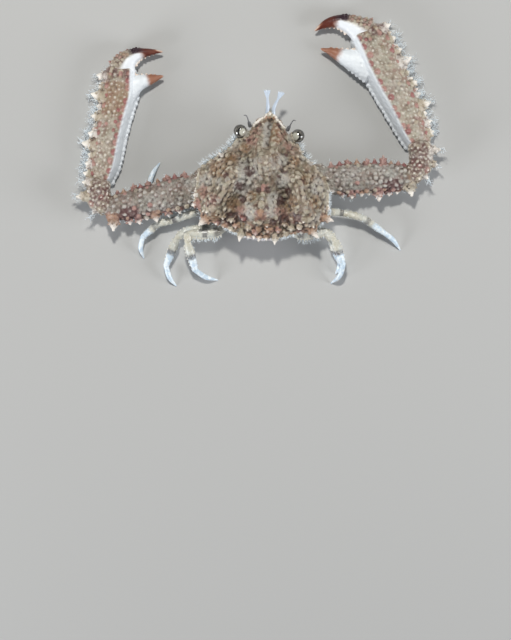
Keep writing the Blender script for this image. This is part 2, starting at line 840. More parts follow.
def roofHigh(u, v):
    shape = shellShape
    rim = shape["marginHigh"] - 0.05 * max(0.0, v - 7.0) ** 1.4 - 0.04 * max(0.0, -9.0 - v)
    swell = 0.0
    for cu, cv, su, sv, high in shape["regions"]:
        swell += high * math.exp(-(((u - cu) / su) ** 2) - ((v - cv) / sv) ** 2)
    swell += shape["branchHigh"] * math.exp(-((ridgeGap(u, v) / shape["branchSpread"]) ** 2))
    fade = 1.0 - min(1.0, edgeShare(u, v)) ** 5
    front = max(0.0, min(1.0, (v - 4.5) / 2.0))
    groove = shape["grooveDeep"] * front * math.exp(-((u / 0.85) ** 2))
    cheek = 0.35 * front * math.exp(-(((abs(u) - 2.1) / 0.7) ** 2))
    return rim + (1.1 + swell + cheek) * fade - groove


def roofPoint(u, v):
    return Vector((u, v, roofHigh(u, v)))


def roofOut(u, v):
    step = shellShape["slopeStep"]
    du = (roofHigh(u + step, v) - roofHigh(u - step, v)) / (2.0 * step)
    dv = (roofHigh(u, v + step) - roofHigh(u, v - step)) / (2.0 * step)
    return Vector((-du, -dv, 1.0)).normalized()


shellOutline = buildOutline(shellShape)
hubRays = shellOutline - np.array(shellShape["hub"])
order = np.argsort(np.arctan2(hubRays[:, 0], hubRays[:, 1]))
outlineAngles = np.arctan2(hubRays[:, 0], hubRays[:, 1])[order]
outlineReach = np.linalg.norm(hubRays, axis=1)[order]


def addShellCore(bm):
    shape = shellShape
    hub = np.array(shape["hub"])
    rows = [("roof", s, 0.0) for s in np.linspace(0.03, 1.0, shape["roofRows"])]
    rows += [("rim", s, drop) for s, drop in shape["rimDrops"]]
    rows += [("under", s, 0.0) for s in shape["underShares"]]
    count = len(shellOutline)
    made = bmesh.ops.create_uvsphere(bm, u_segments=count, v_segments=len(rows) + 1, radius=1.0)
    for vert in made["verts"]:
        row, column = sphereSpot(vert, len(rows), count)
        if row == 0:
            vert.co = roofPoint(*hub)
            continue
        if row == len(rows) + 1:
            vert.co = Vector((*hub, shape["floorHigh"]))
            continue
        kind, share, drop = rows[row - 1]
        u, v = hub + (shellOutline[column] - hub) * share
        if kind == "under":
            rise = min(1.0, (share - 0.5) / 0.48) if share > 0.5 else 0.0
            vert.co = Vector((u, v, shape["floorHigh"] + 1.6 * rise ** 1.3))
        else:
            vert.co = Vector((u, v, roofHigh(u, v) - drop))


def edgeSpine(growths, u, v, radius, length, toward, hue):
    high = shellShape["marginHigh"] - 0.25 if v < 5.0 else roofHigh(u, v) - 0.35
    out = Vector((*toward, 0.25)).normalized()
    growths.crustySpine(Vector((u, v, high)), out, radius, length, tint[hue], 0.8)


def armCrosses(u, v):
    # Where the margin lies over a claw arm it shows neither hairs nor a pale rim.
    return -2.0 < v < 3.4 if u > 0.0 else -4.0 < v < 0.8


shellCover = {
    # Beads down the middle line: forward, radius, length, tint.
    "middle": (
        (-2.7, 0.42, 1.9, "pink"), (-4.2, 0.4, 1.3, "cream"), (-5.4, 0.45, 1.2, "grey"),
        (-6.6, 0.75, 1.3, "cream"), (-8.3, 0.72, 1.4, "orange"), (-10.2, 0.62, 1.2, "cream"),
        (-11.6, 0.7, 1.1, "orange"),
    ),
    # Lines of granules: from, to, count, radius, tints, length, rise, strength.
    "middleRidges": (
        ((-1.7, 6.2), (-0.3, -1.3), 6, 0.5, ("cream", "cream", "grey"), 1.7, 0.45, 0.7),
        ((1.2, 5.9), (0.9, -1.2), 7, 0.38, ("cream", "tan", "grey"), 1.7, 0.3, 0.6),
    ),
    "frontRidges": (
        ((2.0, 11.0), (2.7, 7.0), 9, 0.27, ("cream", "pink", "tan"), 1.2, 0.4, 0.6),
        ((3.0, 10.2), (4.4, 8.2), 5, 0.28, ("cream", "pink", "tan"), 1.2, 0.4, 0.6),
    ),
    "branchRidgeFrom": {-1.0: 7.1, 1.0: 7.8},
    "branchRidgeWide": 2.4,
    "sideRidges": (
        ((6.4, -2.6), (8.2, -7.6), 5, 0.46, ("cream", "tan"), 1.3, 0.3, 0.5),
        ((8.8, 1.6), (11.6, -6.0), 7, 0.46, ("tan", "cream"), 1.2, 0.3, 0.5),
        ((3.6, 4.4), (2.6, 0.6), 4, 0.4, ("cream", "grey"), 1.3, 0.2, 0.5),
        ((2.9, -4.2), (3.4, -8.8), 5, 0.42, ("grey", "cream"), 1.2, 0.3, 0.5),
    ),
    # The first large spine of each side: length, tint.
    "firstSpine": {-1.0: (1.3, "pink"), 1.0: (2.6, "orange")},
    # The other spines of the margin: right, forward, radius, length, way right and forward, tint.
    "edgeSpines": (
        (14.2, -5.7, 0.6, 1.0, 1.0, -0.1, "white"), (11.5, -10.4, 1.35, 2.7, 0.7, -0.85, "orange"),
        (9.2, -11.1, 0.75, 0.9, 0.4, -1.0, "pink"), (7.6, -11.7, 0.6, 0.6, 0.4, -1.0, "orange"),
        (5.9, -12.2, 0.7, 0.9, 0.3, -1.0, "cream"), (3.7, -12.7, 1.0, 2.3, 0.1, -1.0, "cream"),
        (1.9, -13.1, 0.7, 1.1, 0.1, -1.0, "orange"), (2.4, 12.0, 0.5, 0.55, 1.0, 0.6, "orange"),
        (3.3, 10.9, 0.42, 0.5, 1.0, 0.3, "cream"),
    ),
    "raggedCount": 8,
    "raggedFrom": (14.2, -1.9),
    "raggedStep": 0.75,
    "rostrumCount": 7,
    "rostrumFrom": (0.7, 13.3),
    "rostrumWide": 2.5,
    # The rim of the eye's socket: middle, radius, beads, first turn and step in degrees.
    "orbit": (6.3, 9.3, 1.95, 6, 200, 26),
    "marginTries": 520,
    # Smallest and largest radius, and how many are tried.
    "filling": ((0.45, 0.66, 260), (0.32, 0.45, 1300), (0.22, 0.32, 3000)),
}


def ridge(growths, a, b, count, radius, hues, long, rise, strength):
    # A line of drawn-out granules between two places on the shell.
    way = Vector((b[0] - a[0], b[1] - a[1], 0.0)).normalized()
    for i in range(count):
        share = (i + 0.5) / count
        u = a[0] + (b[0] - a[0]) * share + chance.uniform(-0.25, 0.25)
        v = a[1] + (b[1] - a[1]) * share
        size = radius * chance.uniform(0.7, 1.25)
        hue = tint[hues[i % len(hues)]]
        growths.bead(roofPoint(u, v), roofOut(u, v), size, hue, rise, (way, long), strength)


def addTubercles(growths):
    # Single larger tubercles, drawn out into cones toward the rear.
    for u, v, radius, hue in shellTubercles:
        point, out = roofPoint(u, v), roofOut(u, v)
        if v < -9.0:
            out = (out + Vector((0.0, -0.4, 0.0))).normalized()
            growths.crustySpine(point, out, radius, radius * 1.3, tint[hue], 0.45)
        else:
            growths.bead(point, out, radius * 0.9, tint[hue], 0.25, None, 0.45)


def addRostrumEdge(growths, side):
    cover = shellCover
    for i in range(cover["rostrumCount"]):
        slope = cover["rostrumWide"] * (i / (cover["rostrumCount"] - 1.0))
        u, v = side * (cover["rostrumFrom"][0] + slope), cover["rostrumFrom"][1] - slope
        out = Vector((side * 0.7, 0.5, 0.8)).normalized()
        sizes = chance.uniform(0.38, 0.6), chance.uniform(0.4, 0.75)
        hue = tint["orange" if i % 3 == 1 else "cream"]
        growths.spine(roofPoint(u, v), out, *sizes, hue, 0.5, pale=0.75)


def addMarginSpines(growths, side):
    # A ragged margin in front of the first large spine, then the spines round to the rear.
    cover = shellCover
    u, front = cover["raggedFrom"]
    for i in range(cover["raggedCount"]):
        v = front - cover["raggedStep"] * i
        long = chance.uniform(0.35, 0.95)
        hue = "cream" if side < 0.0 or chance.random() < 0.5 else "white"
        edgeSpine(growths, side * u, v, 0.42, long, (side, chance.uniform(-0.4, 0.3)), hue)
    length, hue = cover["firstSpine"][side]
    edgeSpine(growths, side * 13.9, -7.7, 1.1, length, (side, -0.3), hue)
    for u, v, radius, length, outward, forward, hue in cover["edgeSpines"]:
        edgeSpine(growths, side * u, v, radius, length, (side * outward, forward), hue)


def addOrbit(growths, side):
    # The orbit's raised rim, behind and inside the eye.
    across, ahead, radius, count, first, step = shellCover["orbit"]
    for i in range(count):
        turn = math.radians(first + step * i)
        u = across + radius * math.cos(turn)
        v = ahead + radius * math.sin(turn)
        if edgeShare(u, v) < 1.0:
            growths.bead(roofPoint(side * u, v), upward, 0.4, tint["cream"], 0.5, None, 0.7)


def outlineSpot(k):
    # A place on the shell's outline, k steps round it.
    a = shellOutline[int(k) % len(shellOutline)]
    b = shellOutline[(int(k) + 1) % len(shellOutline)]
    return a + (b - a) * (k % 1.0)


def addMarginCrust(growths):
    # The margin is a crust of uneven granules and low teeth.
    for _ in range(shellCover["marginTries"]):
        edge = outlineSpot(chance.uniform(0, len(shellOutline)))
        share = chance.uniform(0.955, 1.0)
        u, v = edge * share + np.array(shellShape["hub"]) * (1.0 - share)
        fine = 0.6 if v > 6.0 else 1.0
        radius = chance.uniform(0.3, 0.62) * fine
        spot = Vector((u, v, roofHigh(u, v) - chance.uniform(0.0, 0.9) * fine))
        if not growths.free(spot, radius * 0.8):
            continue
        out = Vector((u, v + 3.0, chance.uniform(1.0, 8.0))).normalized()
        if armCrosses(u, v):
            hues = ("tan", "grey", "cream", "tan")
        elif v > -7.5:
            hues = ("cream", "white", "grey", "cream")
        else:
            hues = ("cream", "orange", "pink", "tan")
        hue = tint[chance.choice(hues)]
        if chance.random() < 0.3 and v < 6.0:
            tall = radius * chance.uniform(1.2, 1.9)
            growths.spine(spot, out, radius, tall, hue, 0.35, pale=0.5)
        else:
            strength = 0.4 if armCrosses(u, v) else 0.75
            growths.bead(spot, out, radius, hue, chance.uniform(0.3, 0.7), None, strength)


def fillingHues(u, v):
    if v < -7.0:
        return ("cream", "tan", "orange", "pink", "cream", "tan", "orange")
    if abs(u) < 5.0:
        return ("grey", "cream", "tan", "grey", "grey")
    return ("cream", "tan", "grey", "cream", "tan", "orange")


def addFilling(growths):
    # Granules of falling size fill what is left, but for the rostrum's groove.
    for low, high, tries in shellCover["filling"]:
        for _ in range(tries):
            u = chance.uniform(-14.6, 14.6)
            v = chance.uniform(-13.4, 14.0)
            if edgeShare(u, v) > 0.985:
                continue
            fine = 0.5 if v > 5.0 else 0.75 if abs(u) < 5.0 else 0.92
            radius = chance.uniform(low, high) * fine
            groove = v > 5.0 and abs(u - 0.3) < (1.6 if v > 7.5 else 0.9)
            if groove or abs(u) < 5.5 and v > -8.5 and radius > 0.32:
                continue
            point = roofPoint(u, v)
            if not growths.free(point, radius):
                continue
            hue = tint[chance.choice(fillingHues(u, v))] + chance.uniform(-0.05, 0.05)
            turn = chance.uniform(0.0, math.pi)
            way = Vector((math.cos(turn), math.sin(turn), 0.0))
            out = roofOut(u, v)
            if v < -8.0 and radius > 0.4 and chance.random() < 0.6:
                out = (out + Vector((0.0, -0.5, 0.0))).normalized()
                growths.spine(point, out, radius * 1.1, radius * 1.6, hue, 0.35, pale=0.6)
                continue
            rise = chance.uniform(-0.3, 0.2)
            stretch = way, chance.uniform(1.0, 1.6)
            growths.bead(point, out, radius, hue, rise, stretch, chance.uniform(0.0, 0.4))


def shellGrowths(growths):
    cover = shellCover
    for v, radius, long, hue in cover["middle"]:
        stretch = (0, 1, 0), long
        growths.bead(roofPoint(0.1, v), roofOut(0.1, v), radius, tint[hue], 0.6, stretch, 0.9)
    for row in cover["middleRidges"]:
        ridge(growths, *row)
    addTubercles(growths)
    for side in (-1.0, 1.0):
        addRostrumEdge(growths, side)
        inner = cover["branchRidgeFrom"][side]
        ends = (inner, -0.6), (inner + cover["branchRidgeWide"], -7.2)
        branch = (*ends, 9, 0.52, ("cream", "grey", "cream"), 1.25, 0.45, 0.6)
        for a, b, *row in (*cover["frontRidges"], branch, *cover["sideRidges"]):
            ridge(growths, (side * a[0], a[1]), (side * b[0], b[1]), *row)
        addMarginSpines(growths, side)
        addOrbit(growths, side)
    edgeSpine(growths, 0.3, -12.9, 0.9, 1.7, (0.0, -1.0), "orange")
    edgeSpine(growths, -0.7, -12.7, 0.75, 1.5, (-0.1, -1.0), "cream")
    ahead = Vector((0.0, 0.7, 0.7))
    growths.spine(roofPoint(0.0, 13.5), ahead, 0.6, 0.7, tint["cream"], 0.5, pale=0.9)
    growths.spine(roofPoint(0.0, 12.8), upward, 0.42, 0.5, tint["orange"], 0.6, pale=0.0)
    addMarginCrust(growths)
    addFilling(growths)


# Larger tubercles of the shell: right, forward, radius, tint.
shellTubercles = (
    (-10.5, -8.3, 1.0, "cream"), (-9.2, -8.9, 0.6, "cream"), (10.8, -8.6, 0.8, "cream"),
    (-6.1, -10.3, 0.85, "cream"), (-8.1, -9.8, 0.75, "tan"), (-0.5, -12.4, 0.8, "pink"),
    (5.6, -10.0, 0.8, "tan"), (7.2, -10.7, 0.85, "cream"), (8.9, -10.2, 0.85, "cream"),
    (-3.5, -9.7, 0.65, "red"), (-4.9, -11.4, 0.8, "orange"), (-2.2, -11.7, 0.75, "cream"),
    (2.0, -11.6, 0.75, "orange"), (3.5, -9.0, 0.65, "cream"), (4.2, -11.5, 0.65, "pink"),
    (-4.8, 2.9, 0.65, "cream"), (-6.0, 1.0, 0.65, "grey"), (-7.6, 1.9, 0.75, "cream"),
    (-9.8, -0.4, 0.75, "orange"), (-10.6, -2.3, 0.8, "tan"), (-11.4, -4.1, 0.8, "cream"),
    (-3.1, -1.9, 0.7, "grey"), (-2.4, -5.0, 0.65, "grey"), (4.5, 1.7, 0.6, "cream"),
    (5.8, 2.6, 0.75, "cream"), (7.3, 1.2, 0.7, "cream"), (9.8, 0.9, 0.75, "cream"),
    (10.8, -1.2, 0.8, "grey"), (12.4, -1.7, 0.8, "cream"), (5.9, -1.6, 0.65, "cream"),
    (5.1, -3.9, 0.6, "cream"), (12.6, -4.8, 0.8, "cream"), (-12.8, -6.2, 0.7, "pink"),
    (-5.4, 5.4, 0.6, "orange"), (5.6, 5.6, 0.6, "pink"), (-8.4, 3.6, 0.6, "cream"),
)
# Dark and red-brown marks on the shell: right, forward, radius, strength.
shellMarks = (
    (-3.2, 0.6, 1.1, 1.0), (-5.2, -2.9, 0.9, 0.9), (-8.2, -0.9, 0.8, 0.9), (4.3, 1.3, 0.7, 0.9),
    (3.3, 0.2, 0.6, 0.7), (-0.9, -3.3, 0.65, 0.9), (1.2, -3.1, 0.7, 0.9), (5.6, -2.7, 0.8, 0.9),
    (4.2, -5.1, 1.0, 1.0), (-3.9, -5.8, 0.9, 0.8), (8.4, -0.6, 0.7, 0.8), (-6.1, -10.0, 1.5, 0.9),
    (-3.3, -9.9, 0.9, 0.8), (2.9, -9.9, 0.9, 0.9), (5.3, -9.3, 1.4, 0.9), (7.9, -8.4, 1.6, 0.7),
    (1.4, -7.2, 0.6, 0.8), (-1.2, -7.1, 0.6, 0.8), (2.2, 11.5, 0.6, 1.0), (-2.0, 10.9, 0.5, 0.9),
    (-2.2, 9.6, 0.4, 0.8), (1.6, 8.4, 1.1, 0.55), (-9.6, -6.5, 1.3, 0.6), (-4.0, 7.4, 0.4, 0.8),
    (4.4, 4.9, 0.6, 0.7), (9.3, -11.0, 1.0, 0.6), (-8.4, -11.0, 1.0, 0.6),
)
# Pink, cool grey and ochre fields of the shell: right, forward, radius and, if given, strength.
shellFields = {
    "rose": (
        (-3.0, 9.6, 1.6), (3.3, 9.6, 1.5), (-3.4, 7.4, 1.5), (4.6, 7.0, 1.4), (0.5, -2.9, 1.2),
        (-1.5, -12.2, 1.6), (2.6, -12.4, 1.4), (-6.4, -11.2, 1.6), (8.6, -9.6, 1.6),
        (-10.6, -7.0, 1.8), (-12.6, -4.8, 1.6), (0.4, -8.8, 1.5), (4.4, -7.6, 1.4),
        (-4.2, -8.2, 1.3),
    ),
    "cool": (
        (-3.8, 1.0, 2.6), (-4.5, -3.0, 2.0), (4.2, -0.5, 2.0), (2.6, -4.5, 1.6), (-2.3, -8.5, 1.6),
        (-0.3, 9.0, 0.8, 1.2), (-0.2, 11.2, 0.7, 1.2), (-0.5, 6.8, 0.8, 1.2), (-9.5, -2.8, 1.7),
        (4.0, 4.0, 1.5), (-0.3, 10.1, 0.7, 1.2), (-0.4, 7.9, 0.8, 1.2),
        (-12.4, -2.6, 2.0), (2.4, -8.2, 1.4), (12.0, -0.6, 1.8),
    ),
    "ochre": (
        (-9.9, 0.2, 1.9), (-7.6, 2.7, 1.6), (-6.0, -7.2, 1.9), (5.5, -6.2, 1.9), (7.4, -5.0, 1.7),
        (1.7, 9.8, 1.0, 1.2), (1.8, 8.2, 1.2, 1.2), (1.6, 11.2, 0.7, 1.1), (9.4, 0.4, 1.7),
        (-4.6, 5.4, 1.3), (6.0, 3.6, 1.5), (-9.5, -9.8, 1.4), (6.5, -9.2, 2.0), (-2.2, -4.8, 1.1),
        (11.6, -5.0, 1.6), (-3.0, -11.6, 1.6), (3.4, -11.4, 1.6), (0.0, -9.6, 1.2),
    ),
}


def spread(marks, u, v):
    # Soft round marks: right, forward, radius and, if given, strength.
    field = np.zeros(len(u))
    for cu, cv, radius, *strength in marks:
        gap = np.hypot(u - cu, v - cv)
        share = 1.0 - smoothStep(0.1 * radius, 1.9 * radius, gap)
        field = np.maximum(field, share * (strength[0] if strength else 0.85))
    return field


faceShape = {
    "size": (9.0, 5.7, 3.6),
    "at": (0.0, 7.15, 5.2),
    "bevel": 1.15,
    "cheekAt": (6.5, 3.0, 5.1),
    "cheekSize": (3.9, 2.4, 1.9),
    "granules": 160,
    "cheekGranules": 120,
}


def taperFace(vert):
    # The lower half is narrower and set back in front.
    if vert.co.z < 0.0:
        vert.co.x *= 0.84
        vert.co.y -= 0.3 if vert.co.y > 0.0 else 0.0


def addFace(bm, growths):
    # The front of the head under the rostrum and the swollen cheeks above the claw roots.
    bevelledBlock(bm, faceShape["size"], faceShape["at"], faceShape["bevel"], 4, taperFace)
    for _ in range(faceShape["granules"]):
        u, z = chance.uniform(-3.9, 3.9), chance.uniform(4.0, 6.6)
        radius = chance.uniform(0.2, 0.42)
        spot = Vector((u, 9.85 - 0.02 * u * u, z))
        if growths.free(spot, radius):
            hue = tint[chance.choice(("cream", "orange", "tan"))]
            growths.bead(spot, Vector((0.0, 1.0, 0.0)), radius, hue, 0.2, None, 0.5)
    half = Vector(faceShape["cheekSize"])
    for side in (-1.0, 1.0):
        u, v, z = faceShape["cheekAt"]
        middle = Vector((side * u, v, z))
        bmesh.ops.create_icosphere(bm, subdivisions=4, radius=1.0, matrix=stretched(middle, half))
        for _ in range(faceShape["cheekGranules"]):
            right, ahead, rise = [chance.gauss(0.0, spread) for spread in (1.0, 1.0, 0.5)]
            out = Vector((right, abs(ahead), rise)).normalized()
            spot = middle + Vector(a * b for a, b in zip(out, half))
            radius = chance.uniform(0.2, 0.36)
            if growths.free(spot, radius):
                growths.bead(spot, out, radius, tint["tan"], 0.2, None, 0.4)


def buildShell():
    bm = bmesh.new()
    addShellCore(bm)
    growths = Growths()
    shellGrowths(growths)
    addFace(bm, growths)
    piece, places = fusePiece("shell", bm, growths, shellShape["voxel"], 1, 0.14)
    u, v, z = places[:, 0], places[:, 1], places[:, 2]
    under = 1.0 - smoothStep(6.6, 7.4, z)
    front = smoothStep(2.5, 5.0, v)
    dark = under * smoothStep(2.0, 3.6, np.abs(u)) * smoothStep(-1.0, 2.5, v) * (1.0 - 0.6 * front)
    pits = smoothStep(0.9, 1.4, np.abs(u)) * (1.0 - smoothStep(2.6, 3.1, np.abs(u)))
    pits *= smoothStep(8.6, 9.4, v) * smoothStep(4.4, 5.0, z) * under
    top = z > 7.4
    stain = np.maximum(dark * 0.75, pits * 0.8)
    fields = {word: spread(marks, u, v) * top for word, marks in shellFields.items()}
    fields["ochre"] = np.maximum(fields["ochre"], under * front * 0.5)
    paint(piece, stain=np.maximum(spread(shellMarks, u, v) * top, stain), **fields)
    paint(piece, white=under * (1.0 - dark) * (1.0 - front) * 0.8)
    settle(piece, shellMaterial, "shell", "carapace")
    print("shell", len(piece.data.polygons))


buildShell()

palmSection = (
    (1.0, 0.34), (0.84, 0.66), (0.36, 0.92), (-0.5, 1.0), (-0.74, 0.76),
    (-0.92, 0.4), (-1.0, 0.2), (-0.88, 0.0), (0.74, 0.0), (0.94, 0.12),
)
armSection = (
    (1.0, 0.0), (0.8, 0.62), (0.34, 0.96), (-0.34, 0.96), (-0.8, 0.62),
    (-1.0, 0.0), (-0.8, -0.62), (-0.3, -0.92), (0.3, -0.92), (0.8, -0.62),
)

# Stations: x, y, height, half width, half height. The carpus starts where the merus ends.
# Margins: places along the limb with the length of the spine there.
clawShape = {
    "left": {
        "rootIn": (-9.4, 1.3), "rootOut": (-11.7, -1.2),
        "merus": (
            (-13.7, -9.2, 4.9, 3.3, 2.0), (-17.5, -9.8, 4.9, 3.6, 2.3),
            (-22.4, -10.9, 4.7, 3.4, 2.4), (-27.5, -12.1, 4.4, 3.15, 2.4),
            (-31.0, -12.8, 4.1, 2.9, 2.3), (-33.2, -12.7, 4.0, 2.2, 2.0),
        ),
        "carpus": ((-35.3, -10.7, 3.8, 2.7, 2.4), (-35.1, -7.4, 3.2, 2.4, 2.1)),
        "palm": (
            (-35.1, -7.4, 0.0, 2.5, 4.0), (-33.9, -3.0, 0.0, 3.3, 4.8),
            (-32.9, 2.4, 0.0, 3.4, 5.2), (-31.7, 7.8, 0.0, 3.6, 5.2),
            (-30.7, 12.0, 0.0, 3.9, 5.2), (-30.5, 15.2, 0.0, 3.8, 4.8),
            (-30.2, 17.4, 0.0, 3.4, 4.3),
        ),
        "thumb": (
            (-29.6, 12.6, 2.3, 3.2, 1.9), (-26.6, 14.5, 2.2, 1.8, 1.6),
            (-23.7, 15.4, 2.1, 1.05, 1.0), (-21.2, 16.1, 2.1, 0.22, 0.25),
        ),
        "finger": (
            (-30.2, 17.4, 2.2, 3.2, 2.0), (-29.0, 19.5, 2.3, 2.3, 1.8),
            (-27.0, 20.8, 2.3, 1.45, 1.4), (-24.3, 21.4, 2.2, 0.8, 0.9),
            (-21.4, 21.5, 2.0, 0.22, 0.25),
        ),
        "palmOuter": (
            (1.2, 1.3), (3.5, 1.2), (5.7, 0.8), (8.0, 2.3), (10.3, 1.5), (12.2, 0.8),
            (14.0, 1.5), (16.3, 0.8), (18.7, 2.3), (21.3, 1.0), (23.6, 1.6),
        ),
        "merusHind": (
            (4.6, 0.9), (7.2, 1.1), (10.1, 1.7), (12.0, 0.9), (13.8, 1.5), (15.9, 1.3), (18.5, 2.5),
        ),
        "merusFront": (
            (2.1, 1.1), (4.1, 0.9), (5.8, 1.1), (7.9, 0.8), (10.1, 1.0), (11.8, 0.8),
            (13.3, 1.2), (15.7, 0.8), (17.4, 0.8),
        ),
        "carpusOuter": ((1.6, 1.0), (3.5, 2.3), (6.0, 1.6)),
    },
    "right": {
        "rootIn": (9.4, 1.3), "rootOut": (11.6, 1.0),
        "merus": (
            (14.7, -7.1, 4.9, 3.0, 2.0), (18.5, -6.7, 4.9, 3.35, 2.3),
            (23.0, -6.4, 4.7, 3.3, 2.4), (27.8, -6.2, 4.4, 3.05, 2.4),
            (31.0, -6.3, 4.2, 2.85, 2.3), (33.2, -6.0, 4.1, 2.2, 2.0),
        ),
        "carpus": ((35.5, -3.4, 3.9, 2.55, 2.5), (35.4, 0.8, 3.4, 2.6, 2.2)),
        "palm": (
            (35.4, 0.8, 0.0, 2.7, 4.2), (33.4, 5.1, 0.0, 3.5, 5.2),
            (31.2, 10.0, 0.0, 4.0, 5.8), (28.9, 14.5, 0.0, 4.3, 5.9),
            (26.8, 18.7, 0.0, 4.5, 5.9), (25.1, 22.8, 0.0, 4.4, 5.4),
            (23.4, 25.5, 0.0, 3.8, 4.8),
        ),
        "thumb": (
            (24.6, 18.2, 2.5, 3.6, 2.1), (20.8, 19.5, 2.4, 2.4, 1.9),
            (18.0, 20.6, 2.3, 1.55, 1.4), (15.8, 21.5, 2.2, 0.85, 0.9),
            (13.7, 22.1, 2.2, 0.22, 0.25),
        ),
        "finger": (
            (23.4, 25.5, 2.4, 3.5, 2.2), (20.9, 27.0, 2.5, 2.4, 1.9),
            (17.8, 28.1, 2.4, 1.55, 1.5), (14.9, 27.7, 2.2, 0.95, 1.0),
            (12.4, 26.2, 2.0, 0.22, 0.25),
        ),
        "palmOuter": (
            (1.6, 1.2), (3.9, 1.4), (6.0, 0.8), (7.9, 2.3), (10.3, 0.9), (12.9, 1.3),
            (15.6, 0.8), (18.2, 2.2), (21.3, 1.1), (23.9, 0.9), (26.2, 1.6),
        ),
        "merusHind": (
            (3.3, 0.8), (5.4, 1.2), (7.6, 0.8), (9.3, 0.7), (11.5, 2.1), (14.1, 1.2),
            (15.8, 0.8), (18.2, 2.1),
        ),
        "merusFront": (
            (1.5, 0.9), (3.3, 0.8), (5.0, 1.0), (7.0, 0.9), (9.2, 1.1), (10.9, 0.9),
            (12.7, 1.6), (14.2, 0.8), (15.9, 0.8), (17.6, 0.7),
        ),
        "carpusOuter": ((2.2, 0.9), (4.0, 1.3), (6.3, 2.0)),
    },
}
# Skins: voxel size, rounds of smoothing, roughness.
clawSkins = {
    "base": (0.15, 1, 0.12), "arm": (0.14, 1, 0.12), "wrist": (0.14, 1, 0.12),
    "hand": (0.14, 1, 0.08), "dactyl": (0.12, 1, 0.04),
}
tuftSpots = {}
# Rows of beads: start, room left at the end, count, corner, radius, tints, rise.
# Strips of grains: start, room left at the end, corners, sizes, tries, tints, rise, strength.
merusTints = ("grey", "grey", "cream", "white", "tan", "pink")
palmTints = ("cream", "cream", "tan", "grey", "cream", "white")
clawCover = {
    "root": (
        ("grains", 1.0, 0.0, (0.0, 10.0), (0.4, 0.62), 260, ("cream", "grey", "tan"), -0.1, 0.25),
        ("grains", 1.0, 0.0, (0.0, 10.0), (0.22, 0.36), 460, ("cream", "grey", "tan"), -0.1, 0.25),
    ),
    "merus": (
        ("beads", 1.4, 0.6, 7, 4.1, 0.42, ("pink", "cream", "grey"), 0.5),
        ("beads", 1.5, 0.6, 8, 0.9, 0.5, ("pink", "cream", "orange", "cream"), 0.6),
        ("beads", 2.0, 0.6, 5, 2.0, 0.5, ("pink", "cream", "grey"), 0.4),
        ("grains", 0.3, 0.6, (0.3, 4.7), (0.42, 0.6), 110, merusTints, 0.1, 0.3),
        ("grains", 0.3, 0.6, (0.3, 4.7), (0.3, 0.42), 260, merusTints, -0.25, 0.2),
        ("grains", 0.2, 0.6, (0.1, 4.9), (0.18, 0.3), 1100, merusTints, -0.15, 0.25),
        ("beads", 1.2, 0.6, 14, 7.0, 0.42, ("white",), 0.5),
        ("beads", 1.5, 0.6, 12, 8.4, 0.34, ("white",), 0.5),
        ("grains", 0.5, 0.6, (5.4, 9.6), (0.18, 0.32), 500, ("white",), 0.3),
    ),
    "carpus": (
        ("grains", 0.0, 0.0, (0.2, 4.8), (0.34, 0.5), 260, merusTints, 0.0, 0.3),
        ("grains", 0.0, 0.0, (0.1, 4.9), (0.2, 0.36), 500, merusTints, 0.1, 0.35),
        ("grains", 0.2, 0.0, (5.4, 9.6), (0.2, 0.32), 240, ("white",), 0.3),
    ),
    "palmRows": (
        ("beads", 0.4, 3.0, 21, 6.0, 0.7, ("white",), 0.1),
        ("beads", 2.5, 2.0, 5, 1.9, 0.4, ("tan", "cream", "pink"), 0.4),
    ),
    "palmEnd": (
        (4, 2.5, 0.45, ("pink", "cream", "tan"), 0.5), (4, 1.5, 0.5, ("cream", "pink", "tan"), 0.5),
    ),
    "palm": (
        ("grains", 0.4, 0.2, (0.3, 3.0), (0.36, 0.62), 160, palmTints, -0.2, 0.2),
        ("grains", 0.2, 0.0, (0.2, 3.05), (0.2, 0.36), 1300, palmTints, -0.05, 0.25),
        ("grains", 0.5, 0.0, (9.2, 9.95), (0.16, 0.3), 160, ("white",), 0.2),
    ),
    "finger": (((0.34, 0.5), 160, 0.3, 0.7), ((0.18, 0.3), 200, 0.2, 0.5)),
}
# Rows of spines: corner, tints, rise, paleness, width at the root.
clawRows = {
    "merusFront": (4.8, ("pink", "red", "pink", "orange"), 0.1, 0.35, 0.32),
    "merusHind": (0.1, ("pink", "pink", "orange", "cream"), 0.05, 0.8, 0.62),
    "carpusOuter": (0.1, ("white", "cream", "white"), 0.0, 0.7, 0.5),
    "palmOuter": (0.15, ("cream", "white", "cream"), 0.12, 0.9, 0.72),
    "palmBetween": (0.3, ("cream", "pink", "white"), 0.15, 0.6, 0.45),
    "palmInner": (1.15, ("red", "pink", "cream", "pink"), 0.5, 0.2, 0.4),
    "palmCrest": (2.95, ("pink", "red", "pink", "red"), 0.5, 0.3, 0.36),
}
# What differs between the claws: the finger's outer corner and strip, the palm's stain and ochre.
clawSides = {
    "left": {"fingerOuter": 5.0, "strip": (3.0, 4.9), "stain": 0.1, "ochre": 0.8},
    "right": {"fingerOuter": 0.0, "strip": (0.1, 2.0), "stain": 0.04, "ochre": 0.3},
}


def spineRow(growths, limb, marks, corner, hues, rise, pale, wide):
    for i, (along, length) in enumerate(marks):
        point, out = limb.surface(along, corner + chance.uniform(-0.15, 0.15))
        out = (out + Vector((0.0, 0.0, rise))).normalized()
        hue = tint[hues[i % len(hues)]]
        radius = wide + 0.4 * length
        if length > 1.1:
            growths.crustySpine(point, out, radius, length, hue, pale)
        else:
            growths.spine(point, out, radius, length, hue, 0.3, pale=pale)


def beadRow(growths, limb, start, end, count, corner, radius, hues, rise):
    for i in range(count):
        along = start + (end - start) * (i + 0.5) / count + chance.uniform(-0.1, 0.1)
        point, out = limb.surface(along, corner)
        size = radius * chance.uniform(0.85, 1.15)
        growths.bead(point, out, size, tint[chance.choice(hues)], rise)


